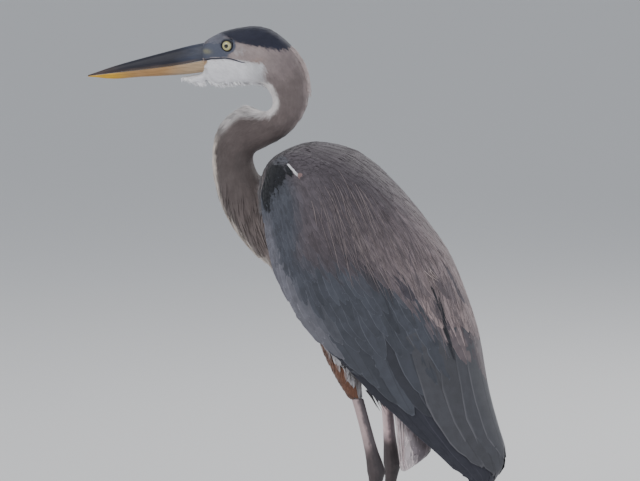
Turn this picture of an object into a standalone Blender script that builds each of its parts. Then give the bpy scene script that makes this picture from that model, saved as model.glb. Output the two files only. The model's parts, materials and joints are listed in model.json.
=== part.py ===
"""A great blue heron at rest: standing on both feet, neck drawn back into an S, wings folded.

Metres, +Z up. The bird faces -X, its left side is -Y, and the floor is Z = 0. Tables of sections
are in millimetres and are turned into metres by MM where a mesh is made. The origin is below the
middle of the whole bird.
"""

import math

import bmesh
import bpy
from mathutils import Vector

MM = 0.001
GAP = 0.35 * MM  # clearance between neighbouring parts
SIDES = (("left", -1.0), ("right", 1.0))

# The body axis runs from the shoulders down to the wing tips, in the bird's middle plane.
SHOULDER = Vector((-15.0, 0.0, 555.0))
BODY_LEAN = math.radians(54.8)  # below the horizontal
ALONG = Vector((math.cos(BODY_LEAN), 0.0, -math.sin(BODY_LEAN)))
DORSAL = Vector((math.sin(BODY_LEAN), 0.0, math.cos(BODY_LEAN)))
LATERAL = Vector((0.0, 1.0, 0.0))
UP = Vector((0.0, 0.0, 1.0))
BACK = Vector((1.0, 0.0, 0.0))

# Trunk: (distance along the axis, back, belly, half width), measured from the axis.
TRUNK = (
    (-13.5, 8.0, -6.0, 16.0),
    (-9.0, 32.0, -20.0, 36.0),
    (4.0, 56.0, -38.0, 48.0),
    (30.0, 78.0, -62.0, 56.0),
    (62.0, 92.0, -80.0, 62.0),
    (100.0, 99.0, -84.0, 66.0),
    (145.0, 103.5, -86.0, 67.0),
    (185.0, 102.0, -84.0, 65.0),
    (225.0, 93.0, -74.0, 59.0),
    (262.0, 79.0, -60.0, 51.0),
    (295.0, 58.0, -48.0, 40.0),
    (322.0, 22.0, -32.0, 24.0),
)
TRUNK_POWER = 2.05

# Folded wing: (distance along the axis, dorsal line, ventral edge, half width, start angle,
# depth of the folded feathers). The start angle is where the wing's upper edge lies, from 0 on
# the ridge of the back.
WING = (
    (-8.0, 38.0, -4.0, 40.0, 58.0, 10.0),
    (2.0, 54.0, -18.0, 53.0, 50.0, 16.0),
    (16.0, 69.0, -31.0, 65.0, 45.0, 22.0),
    (36.0, 84.0, -42.0, 75.0, 42.0, 26.0),
    (66.0, 95.0, -56.0, 82.0, 40.0, 28.0),
    (105.0, 102.0, -73.0, 84.0, 34.0, 28.0),
    (150.0, 106.0, -81.0, 83.0, 24.0, 28.0),
    (200.0, 106.0, -78.0, 79.0, 11.0, 28.0),
    (250.0, 95.5, -66.0, 71.0, 3.0, 26.0),
    (300.0, 80.0, -59.0, 60.0, 2.0, 16.0),
    (350.0, 57.0, -50.0, 49.0, 2.0, 9.0),
    (395.0, 39.5, -39.0, 37.0, 2.0, 7.0),
    (428.0, 28.5, -33.0, 27.0, 2.0, 6.0),
    (448.0, 16.0, -32.0, 19.0, 2.0, 5.0),
    (458.0, -8.0, -30.0, 14.0, 2.0, 3.0),
)
WING_END_ANGLE = 124.0
WING_SPLIT = 262.0  # where the coverts end and the flight feathers go on alone
WING_EDGE = 1.2  # thickness at the wing's two long edges
RIDGE_GAP = 0.6  # each wing stays this far from the middle plane

# Head and neck, from the face to the breast: (x, z, lean, half depth, half width, egg). The
# lean is that of the line from the throat side to the nape side, from the horizontal. The egg
# value widens the nape side and narrows the throat side.
HEAD_NECK = (
    (-113.5, 683.0, 90.0, 18.6, 12.4, 0.05),
    (-92.0, 684.5, 68.0, 37.5, 16.5, 0.30),
    (-60.5, 686.0, 56.0, 43.2, 19.5, 0.26),
    (-32.0, 675.0, 37.0, 37.6, 19.5, 0.14),
    (-13.0, 659.0, 19.0, 29.8, 18.5, 0.05),
    (-6.0, 630.0, -2.0, 23.6, 18.0, 0.0),
    (-21.0, 607.0, -40.0, 21.5, 18.5, 0.0),
    (-49.0, 601.0, -66.0, 30.2, 21.5, 0.0),
    (-71.0, 587.0, -42.0, 29.5, 23.0, 0.0),
    (-77.0, 562.0, -10.0, 28.0, 23.5, 0.0),
    (-68.5, 529.0, 16.0, 30.6, 25.5, 0.0),
    (-42.0, 492.0, 27.0, 36.6, 33.0, 0.0),
    (-4.0, 459.0, 24.0, 44.0, 42.0, 0.0),
)
HEAD_NECK_SPANS = (
    ("head", 0.0, 3.35),
    ("neck_nape", 3.35, 5.0),
    ("neck_upper", 5.0, 6.5),
    ("neck_bend", 6.5, 8.0),
    ("neck_middle", 8.0, 9.5),
    ("neck_lower", 9.5, 11.0),
    ("neck_base", 11.0, 12.0),
)

# Bill: (x, upper edge, mouth line, lower edge, half width).
BILL = (
    (-113.9, 700.6, 679.6, 665.5, 11.6),
    (-130.0, 697.2, 676.4, 663.2, 10.6),
    (-149.0, 692.3, 673.2, 661.4, 9.4),
    (-192.0, 680.7, 667.5, 658.8, 6.8),
    (-223.0, 671.8, 663.6, 656.3, 4.4),
    (-249.0, 662.9, 660.2, 658.0, 1.5),
    (-256.5, 660.4, 659.2, 658.6, 0.5),
)
MOUTH_SLIT = 0.35

EYE_CENTRE = (-79.9, 10.7, 698.3)
EYE_RADIUS = 8.4

# Chin feathers below the mandible: (x, top, bottom, half width).
CHIN = (
    (-143.0, 661.2, 657.6, 1.2),
    (-134.0, 662.0, 654.6, 5.0),
    (-124.0, 663.4, 650.6, 8.0),
    (-114.2, 664.6, 648.0, 9.6),
)

# Legs: (x, y, z, half depth, half width, stride), y for the right leg, from the belly down. The
# stride is the share of STRIDE by which the right leg is set back at that height.
STRIDE = 19.0
THIGH = (
    (62.0, 30.0, 385.0, 30.0, 24.0, 0.1),
    (66.0, 33.0, 350.0, 29.0, 23.0, 0.3),
    (73.0, 36.0, 315.0, 20.0, 17.0, 0.7),
    (81.0, 38.0, 288.0, 11.0, 10.5, 0.96),
    (83.6, 38.4, 280.5, 8.4, 8.0, 1.0),
)
SHANK = (
    (84.0, 38.5, 279.8, 7.4, 6.4, 1.0),
    (92.0, 38.9, 252.0, 7.2, 6.0, 0.72),
    (100.0, 39.4, 222.0, 8.0, 6.8, 0.42),
    (105.0, 39.7, 204.0, 10.0, 8.8, 0.26),
    (107.4, 40.0, 193.0, 11.4, 9.6, 0.2),
)
TARSUS = (
    (107.5, 40.0, 192.3, 11.4, 9.6, 0.2),
    (106.8, 40.0, 182.0, 8.6, 7.6, 0.19),
    (104.6, 40.2, 160.0, 6.6, 5.8, 0.17),
    (100.0, 40.8, 100.0, 6.0, 5.2, 0.1),
    (96.4, 41.4, 40.0, 6.2, 5.6, 0.0),
    (95.4, 41.6, 21.0, 7.6, 7.4, 0.0),
    (95.0, 41.8, 11.6, 8.6, 8.6, 0.0),
)
FOOT_HUB = (95.0, 42.0, 11.0, 12.6)  # x, y, height, radius
# Toes: (name, turn from straight ahead, length with its claw, radius at the root).
TOES = (
    ("inner", 27.0, 80.0, 4.8),
    ("middle", -10.0, 106.0, 5.0),
    ("outer", -47.0, 88.0, 4.8),
    ("hallux", 170.0, 66.0, 4.6),
)
CLAW_LENGTH = 15.0
TOE_JOINTS = 3

# Tail: (x, z, lean of the section, half thickness, half width), from the rump to the tip.
TAIL = (
    (138.0, 330.0, 4.0, 16.0, 26.0),
    (142.0, 290.0, 6.0, 19.0, 30.0),
    (146.5, 250.0, 14.0, 18.5, 33.0),
    (149.0, 222.0, 26.0, 19.5, 35.0),
    (149.5, 203.0, 34.0, 20.0, 34.0),
    (147.5, 196.5, 38.0, 12.0, 24.0),
)
TAIL_TENT = 9.0  # how far the tail's sides hang below its ridge

SLATE = (0.150, 0.165, 0.190, 1.0)
MANTLE = (0.165, 0.160, 0.170, 1.0)
NECK_GREY = (0.260, 0.225, 0.220, 1.0)
HEAD_WHITE = (0.520, 0.480, 0.470, 1.0)
CHIN_WHITE = (0.760, 0.750, 0.760, 1.0)
RUFOUS = (0.260, 0.110, 0.070, 1.0)
TAIL_GREY = (0.300, 0.290, 0.310, 1.0)
BILL_SLATE = (0.065, 0.070, 0.085, 1.0)
BILL_HORN = (0.560, 0.290, 0.085, 1.0)
LEG_BROWN = (0.230, 0.190, 0.165, 1.0)
CLAW_HORN = (0.045, 0.040, 0.038, 1.0)
EYE_YELLOW = (0.820, 0.720, 0.300, 1.0)


def clear_scene():
    """Remove every object the new file came with."""
    for old in list(bpy.data.objects):
        bpy.data.objects.remove(old, do_unlink=True)


def finish(name, colour, roughness):
    """A plain Principled material."""
    material = bpy.data.materials.new(name)
    material.use_nodes = True
    shader = material.node_tree.nodes["Principled BSDF"]
    shader.inputs["Base Color"].default_value = colour
    shader.inputs["Roughness"].default_value = roughness
    material.diffuse_color = colour
    return material


def blend_rows(rows, position):
    """The row at a fractional position, on a Catmull-Rom curve through the rows."""
    last = len(rows) - 1
    index = min(int(position), last - 1)
    share = position - index
    before = rows[max(index - 1, 0)]
    start = rows[index]
    end = rows[index + 1]
    after = rows[min(index + 2, last)]
    blended = []
    for a, b, c, d in zip(before, start, end, after):
        line = 2.0 * b + (c - a) * share
        bow = (2.0 * a - 5.0 * b + 4.0 * c - d) * share**2
        twist = (3.0 * b - a - 3.0 * c + d) * share**3
        blended.append((line + bow + twist) / 2.0)
    return blended


def sampled(rows, start, end, steps):
    """Rows read at even steps between two fractional positions."""
    return [blend_rows(rows, start + (end - start) * i / steps) for i in range(steps + 1)]


def position_of(rows, value):
    """The fractional position at which the first column reaches a value."""
    low = 0.0
    high = float(len(rows) - 1)
    for _ in range(40):
        middle = (low + high) / 2.0
        if blend_rows(rows, middle)[0] < value:
            low = middle
        else:
            high = middle
    return (low + high) / 2.0


def super_ellipse(angle, power):
    """(cosine, sine) of an angle on a superellipse of radius 1."""
    cosine = math.copysign(abs(math.cos(angle)) ** (2.0 / power), math.cos(angle))
    sine = math.copysign(abs(math.sin(angle)) ** (2.0 / power), math.sin(angle))
    return cosine, sine


def section(centre, across, up, width, top, bottom, power=2.0, egg=0.0, count=20):
    """A closed ring of points about a centre: half width, height above and depth below."""
    ring = []
    for i in range(count):
        high, wide = super_ellipse(math.tau * i / count, power)
        reach = top if high > 0.0 else bottom
        ring.append(centre + across * (wide * width * (1.0 + egg * high)) + up * (high * reach))
    return ring


def loft(name, rings, material):
    """A closed body through rings of equally many points, in millimetres, with flat ends."""
    shape = bmesh.new()
    loops = [[shape.verts.new(point * MM) for point in ring] for ring in rings]
    for low, high in zip(loops, loops[1:]):
        for i in range(len(low)):
            j = (i + 1) % len(low)
            shape.faces.new((low[i], low[j], high[j], high[i]))
    shape.faces.new(reversed(loops[0]))
    shape.faces.new(loops[-1])
    bmesh.ops.recalc_face_normals(shape, faces=shape.faces)
    bmesh.ops.triangulate(shape, faces=[face for face in shape.faces if len(face.verts) > 4])
    mesh = bpy.data.meshes.new(name)
    shape.to_mesh(mesh)
    shape.free()
    mesh.shade_smooth()
    mesh.set_sharp_from_angle(angle=math.radians(50.0))
    mesh.materials.append(material)
    piece = bpy.data.objects.new(name, mesh)
    bpy.context.scene.collection.objects.link(piece)
    return piece


def swollen(piece, by):
    """A hidden copy of a piece, larger by a clearance, to cut its neighbours with."""
    shape = bmesh.new()
    shape.from_mesh(piece.data)
    shape.normal_update()
    for vertex in shape.verts:
        vertex.co += vertex.normal * by * vertex.calc_shell_factor()
    mesh = bpy.data.meshes.new(piece.name + "_clearance")
    shape.to_mesh(mesh)
    shape.free()
    cutter = bpy.data.objects.new(piece.name + "_clearance", mesh)
    bpy.context.scene.collection.objects.link(cutter)
    cutter.hide_render = True
    cutter.display_type = "WIRE"
    return cutter


def carve(piece, cutters):
    """Cut a piece back so that it clears its neighbours."""
    for cutter in cutters:
        cut = piece.modifiers.new("clear_" + cutter.name, "BOOLEAN")
        cut.operation = "DIFFERENCE"
        cut.solver = "EXACT"
        cut.object = cutter


def body_point(along, out, side=0.0):
    """A point given along the body axis, out towards the back, and to the side."""
    return SHOULDER + ALONG * along + DORSAL * out + LATERAL * side


def make_trunk(material):
    """The trunk, from the root of the neck to the rump, with the mantle on its back."""
    rings = []
    for along, back, belly, width in sampled(TRUNK, 0.0, len(TRUNK) - 1.0, 19):
        middle = (back + belly) / 2.0
        half = (back - belly) / 2.0
        centre = body_point(along, middle)
        rings.append(section(centre, LATERAL, DORSAL, width, half, half, TRUNK_POWER, count=20))
    return loft("trunk", rings, material)


def wing_ring(row, side, count=10):
    """One section of a folded wing: over the outside, then back along the inside."""
    along, ridge, edge, width, start, depth = row
    end = math.radians(WING_END_ANGLE)
    half = (ridge - edge) / (1.0 - math.cos(end))
    middle = ridge - half
    outer = []
    inner = []
    for i in range(count + 1):
        share = i / count
        angle = math.radians(start) + (end - math.radians(start)) * share
        thick = WING_EDGE + (depth - WING_EDGE) * math.sin(math.pi * share) ** 0.7
        normal = Vector((math.cos(angle) / half, math.sin(angle) / width)).normalized()
        high = middle + half * math.cos(angle)
        wide = width * math.sin(angle)
        outer.append((high, max(wide, RIDGE_GAP)))
        inner.append((high - normal.x * thick, max(wide - normal.y * thick, RIDGE_GAP)))
    inner[0] = (outer[0][0] - max(depth * 0.25, WING_EDGE), outer[0][1])
    profile = outer + inner[::-1]
    return [body_point(along, high, side * wide) for high, wide in profile]


def make_wing(name, side, start, end, steps, material):
    """A length of a folded wing between two distances along the body axis."""
    rows = sampled(WING, position_of(WING, start), position_of(WING, end), steps)
    rows[0][0] = start
    rows[-1][0] = end
    return loft(name, [wing_ring(row, side) for row in rows], material)


def neck_ring(row):
    """One section across the head or neck."""
    x, z, lean, depth, width, egg = row
    up = Vector((math.cos(math.radians(lean)), 0.0, math.sin(math.radians(lean))))
    centre = Vector((x, 0.0, z))
    return section(centre, LATERAL, up, width, depth, depth, 2.1, egg, count=16)


def make_head_and_neck(head_finish, neck_finish):
    """The head and the six lengths of the neck, parted by flat cuts."""
    pieces = []
    for name, start, end in HEAD_NECK_SPANS:
        steps = max(3, round((end - start) * 3.0))
        rings = [neck_ring(row) for row in sampled(HEAD_NECK, start, end, steps)]
        if start > 0.0:
            rings[0] = parted(rings[0], rings[1])
        pieces.append(loft(name, rings, head_finish if name == "head" else neck_finish))
    return pieces


def parted(ring, following):
    """A ring moved towards the next one by the clearance."""
    step = sum(following, Vector()) / len(following) - sum(ring, Vector()) / len(ring)
    move = step.normalized() * (GAP / MM)
    return [point + move for point in ring]


def half_section(centre, width, reach, count=8):
    """Half a ring that stands on its chord: up for a positive reach, down for a negative one."""
    ring = []
    for i in range(count + 1):
        angle = math.pi * i / count
        offset = LATERAL * (math.cos(angle) * width) + UP * (math.sin(angle) * reach)
        ring.append(centre + offset)
    return ring


def make_bill(upper_finish, lower_finish):
    """The upper bill and the mandible, on each side of the mouth line."""
    upper = []
    lower = []
    for x, top, mouth, bottom, width in sampled(BILL, 0.0, len(BILL) - 1.0, 11):
        roof = mouth + MOUTH_SLIT / 2.0
        floor = mouth - MOUTH_SLIT / 2.0
        upper.append(half_section(Vector((x, 0.0, roof)), width, top - roof))
        lower.append(half_section(Vector((x, 0.0, floor)), width, bottom - floor))
    return loft("bill_upper", upper, upper_finish), loft("bill_lower", lower, lower_finish)


def make_eye(name, side, material):
    """One eyeball."""
    shape = bmesh.new()
    bmesh.ops.create_uvsphere(shape, u_segments=14, v_segments=8, radius=EYE_RADIUS * MM)
    mesh = bpy.data.meshes.new(name)
    shape.to_mesh(mesh)
    shape.free()
    mesh.shade_smooth()
    mesh.materials.append(material)
    eye = bpy.data.objects.new(name, mesh)
    x, y, z = EYE_CENTRE
    for vertex in mesh.vertices:
        vertex.co += Vector((x, side * y, z)) * MM
    bpy.context.scene.collection.objects.link(eye)
    return eye


def make_chin(material):
    """The tuft of white feathers below the root of the mandible."""
    rings = []
    for x, top, bottom, width in sampled(CHIN, 0.0, len(CHIN) - 1.0, 6):
        centre = Vector((x, 0.0, (top + bottom) / 2.0))
        half = (top - bottom) / 2.0
        rings.append(section(centre, LATERAL, UP, width, half, half, count=12))
    return loft("chin", rings, material)


def limb(name, rows, side, material, steps, count=12):
    """A length of leg, with a level section at each height."""
    rings = []
    setback = STRIDE if side > 0.0 else 0.0
    for x, y, z, depth, width, stride in sampled(rows, 0.0, len(rows) - 1.0, steps):
        centre = Vector((x + setback * stride, side * y, z))
        rings.append(section(centre, LATERAL, BACK, width, depth, depth, count=count))
    return loft(name, rings, material)


def make_hub(name, side, material):
    """The pad where a leg's toes meet, flat below."""
    x, y, height, radius = FOOT_HUB
    rings = []
    for share, swell in ((0.0, 0.80), (0.25, 1.0), (0.6, 1.0), (1.0, 0.84)):
        centre = Vector((x, side * y, height * share))
        reach = radius * swell
        rings.append(section(centre, LATERAL, BACK, reach, reach, reach, count=12))
    return loft(name, rings, material)


def make_toe(side_name, side, toe, skin, horn):
    """One toe, padded at its joints and flat below, and its claw."""
    toe_name, turn, length, radius = toe
    x, y, _, hub = FOOT_HUB
    heading = math.radians(180.0 + side * turn)
    ahead = Vector((math.cos(heading), math.sin(heading), 0.0))
    across = Vector((-ahead.y, ahead.x, 0.0))
    root = Vector((x, side * y, 0.0))
    start = hub + GAP / MM
    claw = length - CLAW_LENGTH
    rings = []
    steps = 2 * TOE_JOINTS + 2
    for i in range(steps + 1):
        share = i / steps
        swell = 1.0 + 0.10 * math.cos(math.tau * share * TOE_JOINTS)
        waist = min(1.0, 0.70 + 1.8 * share)
        size = radius * (1.0 - 0.34 * share) * swell * waist
        centre = root + ahead * (start + (claw - start) * share) + UP * (size * 0.82)
        rings.append([Vector((p.x, p.y, max(p.z, 0.0))) for p in
                      section(centre, across, UP, size, size, size, count=10)])
    loft(f"toe_{side_name}_{toe_name}", rings, skin)
    rings = []
    for share in (0.0, 0.3, 0.62, 0.9, 1.0):
        size = radius * 0.52 * (1.0 - share) ** 0.75 + 0.25
        rise = 0.4 + radius * 0.55 * math.cos(share * math.pi / 2.0)
        centre = root + ahead * (claw + GAP / MM + (length - claw) * share) + UP * (size + rise)
        rings.append(section(centre, across, UP, size, size, size, count=8))
    loft(f"claw_{side_name}_{toe_name}", rings, horn)


def make_tail(material):
    """The folded tail: a low tent of feathers, hanging below the wings."""
    rings = []
    for x, z, lean, thick, width in sampled(TAIL, 0.0, len(TAIL) - 1.0, 8):
        up = Vector((math.cos(math.radians(lean)), 0.0, math.sin(math.radians(lean))))
        ring = section(Vector((x, 0.0, z)), LATERAL, up, width, thick, thick, 2.3, count=20)
        rings.append([p - up * TAIL_TENT * (p.y / width) ** 2 for p in ring])
    return loft("tail", rings, material)


def stand_at_origin():
    """Hold every part by an empty, placed so that the origin is below the bird's middle."""
    graph = bpy.context.evaluated_depsgraph_get()
    corners = []
    parts = [part for part in bpy.data.objects if part.type == "MESH" and not part.hide_render]
    for part in parts:
        corners += [Vector(corner) for corner in part.evaluated_get(graph).bound_box]
    low = Vector([min(corner[axis] for corner in corners) for axis in range(3)])
    high = Vector([max(corner[axis] for corner in corners) for axis in range(3)])
    stance = bpy.data.objects.new("stance", None)
    bpy.context.scene.collection.objects.link(stance)
    for part in bpy.data.objects:
        if part.type == "MESH":
            part.parent = stance
    stance.location = (-(low.x + high.x) / 2.0, -(low.y + high.y) / 2.0, -low.z)


def main():
    """Build the bird."""
    clear_scene()
    skin = finish("leg_skin", LEG_BROWN, 0.6)
    horn = finish("claw_horn", CLAW_HORN, 0.35)
    slate = finish("wing_slate", SLATE, 0.75)
    trunk = make_trunk(finish("mantle_grey", MANTLE, 0.8))
    neck_parts = make_head_and_neck(
        finish("head_white", HEAD_WHITE, 0.8), finish("neck_grey", NECK_GREY, 0.8)
    )
    head = neck_parts[0]
    lower_neck = neck_parts[-2:]
    trunk_clear = swollen(trunk, GAP)
    for length in lower_neck:
        carve(length, [trunk_clear])
    base_clear = swollen(lower_neck[-1], GAP)

    make_bill(finish("bill_slate", BILL_SLATE, 0.35), finish("bill_horn", BILL_HORN, 0.35))
    make_chin(finish("chin_white", CHIN_WHITE, 0.85))
    iris = finish("eye_yellow", EYE_YELLOW, 0.15)
    carve(head, [swollen(make_eye("eye_" + name, side, iris), GAP) for name, side in SIDES])

    wing_clear = []
    rufous = finish("thigh_rufous", RUFOUS, 0.85)
    for name, side in SIDES:
        coverts = make_wing(f"wing_{name}_coverts", side, -8.0, WING_SPLIT, 12, slate)
        flight = make_wing(f"wing_{name}_flight", side, WING_SPLIT + GAP / MM, 458.0, 10, slate)
        wing_clear += [swollen(coverts, GAP), swollen(flight, GAP)]
        for piece in (coverts, flight):
            carve(piece, [trunk_clear, base_clear])
        thigh = limb(f"thigh_{name}", THIGH, side, rufous, 8, 16)
        carve(thigh, [trunk_clear] + wing_clear[-2:])
        limb(f"shank_{name}", SHANK, side, skin, 7)
        limb(f"tarsus_{name}", TARSUS, side, skin, 8)
        make_hub(f"foot_{name}", side, skin)
        for toe in TOES:
            make_toe(name, side, toe, skin, horn)
    carve(make_tail(finish("tail_grey", TAIL_GREY, 0.8)), [trunk_clear] + wing_clear)
    stand_at_origin()


main()
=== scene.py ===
"""A great blue heron, finished: skin, plumage, bill, eyes and legs over the packed solids."""

from __future__ import annotations

import json
import logging
import math
from dataclasses import dataclass, field
from enum import Enum
from typing import Callable, Sequence

import bmesh
import bpy
import numpy as np
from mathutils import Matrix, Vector, noise
from mathutils.bvhtree import BVHTree
from mathutils.kdtree import KDTree

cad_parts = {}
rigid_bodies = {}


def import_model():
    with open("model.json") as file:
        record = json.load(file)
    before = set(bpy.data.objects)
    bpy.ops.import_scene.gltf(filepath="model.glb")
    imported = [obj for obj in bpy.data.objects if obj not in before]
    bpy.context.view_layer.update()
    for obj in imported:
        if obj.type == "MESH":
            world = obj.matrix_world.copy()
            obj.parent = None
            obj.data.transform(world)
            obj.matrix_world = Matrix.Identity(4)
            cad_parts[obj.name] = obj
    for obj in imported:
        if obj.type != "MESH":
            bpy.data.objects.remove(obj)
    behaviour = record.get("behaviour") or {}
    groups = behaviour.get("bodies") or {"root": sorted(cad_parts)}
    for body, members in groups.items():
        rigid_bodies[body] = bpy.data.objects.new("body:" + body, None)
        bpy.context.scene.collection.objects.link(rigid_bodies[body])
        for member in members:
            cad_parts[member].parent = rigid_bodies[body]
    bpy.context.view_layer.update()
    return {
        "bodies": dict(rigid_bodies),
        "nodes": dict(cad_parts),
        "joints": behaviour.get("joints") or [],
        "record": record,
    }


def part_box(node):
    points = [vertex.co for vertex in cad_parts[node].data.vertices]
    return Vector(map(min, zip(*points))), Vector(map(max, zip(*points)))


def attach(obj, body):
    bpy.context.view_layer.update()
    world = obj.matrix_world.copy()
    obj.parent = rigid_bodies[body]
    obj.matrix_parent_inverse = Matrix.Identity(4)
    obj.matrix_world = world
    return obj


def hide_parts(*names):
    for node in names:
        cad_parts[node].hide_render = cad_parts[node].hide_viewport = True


LOG = logging.getLogger("heron")
MM = 0.001
BODY = "root"
SEED = 20
# The side of a feather's patch on the unwrap, as a share of the map.
PATCH = 0.003
Array = np.ndarray
Colour = tuple[float, float, float]
Knots = tuple[tuple[float, ...], ...]
Object = bpy.types.Object
Material = bpy.types.Material
Mesh = bpy.types.Mesh
Socket = bpy.types.NodeSocket


class Group(Enum):
    """The regions of the bird, named for the solids that they follow."""

    HEAD = "head"
    NECK = "neck"
    TRUNK = "trunk"
    WING = "wing"
    FLIGHT = "flight"
    THIGH = "thigh"
    TAIL = "tail"


class Side(Enum):
    """The bird's two sides, as the sign of Y."""

    LEFT = -1.0
    RIGHT = 1.0

    @property
    def word(self) -> str:
        """The side's name in a node's name."""
        return self.name.lower()


def smooth(low: float, high: float, value: Array) -> Array:
    """Ease from 0 to 1.

    Args:
        low: Where the rise starts; it may be above high, for a fall.
        high: Where the rise ends.
        value: The values to ease.

    Returns:
        Values from 0 to 1.
    """
    share = np.clip((value - low) / (high - low), 0.0, 1.0)
    return share * share * (3.0 - 2.0 * share)


def mixed(first: Array, second: Array, share: Array) -> Array:
    """Blend two rows of colours or vectors.

    Args:
        first: The values at share 0.
        second: The values at share 1.
        share: One number for each row.

    Returns:
        The blended rows.
    """
    share = np.asarray(share, float)[..., None]
    return first * (1.0 - share) + second * share


def unit(vectors: Array) -> Array:
    """Rows scaled to length 1."""
    return vectors / np.maximum(np.linalg.norm(vectors, axis=-1, keepdims=True), 1e-12)


def ripple(points: Array, size: float, seed: float = 0.0) -> Array:
    """A smooth, irregular field made of crossed waves.

    Args:
        points: Rows of positions in metres.
        size: The size of its blotches in metres.
        seed: Shifts the pattern.

    Returns:
        Values from about -1 to 1.
    """
    p = points * (math.tau / size)
    x, y, z = p[..., 0] + seed, p[..., 1] + 1.7 * seed, p[..., 2] - 0.6 * seed
    first = np.sin(0.71 * x + 1.3 * np.sin(0.53 * y + 0.31 * z))
    second = np.sin(0.63 * y - 0.45 * z + 1.1 * np.sin(0.47 * z - 0.38 * x))
    third = np.sin(0.57 * z + 0.39 * x + 1.2 * np.sin(0.61 * x + 0.29 * y))
    return (first + second + third) / 3.0


def blend_rows(rows: Array, positions: Array) -> Array:
    """Read a table at fractional positions, on a Catmull-Rom curve through its rows.

    Args:
        rows: The table.
        positions: Fractional row numbers.

    Returns:
        One row for each position.
    """
    last = len(rows) - 1
    index = np.clip(positions.astype(int), 0, last - 1)
    share = (positions - index)[..., None]
    before, start = rows[np.maximum(index - 1, 0)], rows[index]
    end, after = rows[index + 1], rows[np.minimum(index + 2, last)]
    line = 2.0 * start + (end - before) * share
    bow = (2.0 * before - 5.0 * start + 4.0 * end - after) * share**2
    twist = (3.0 * start - before - 3.0 * end + after) * share**3
    return (line + bow + twist) / 2.0


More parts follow.
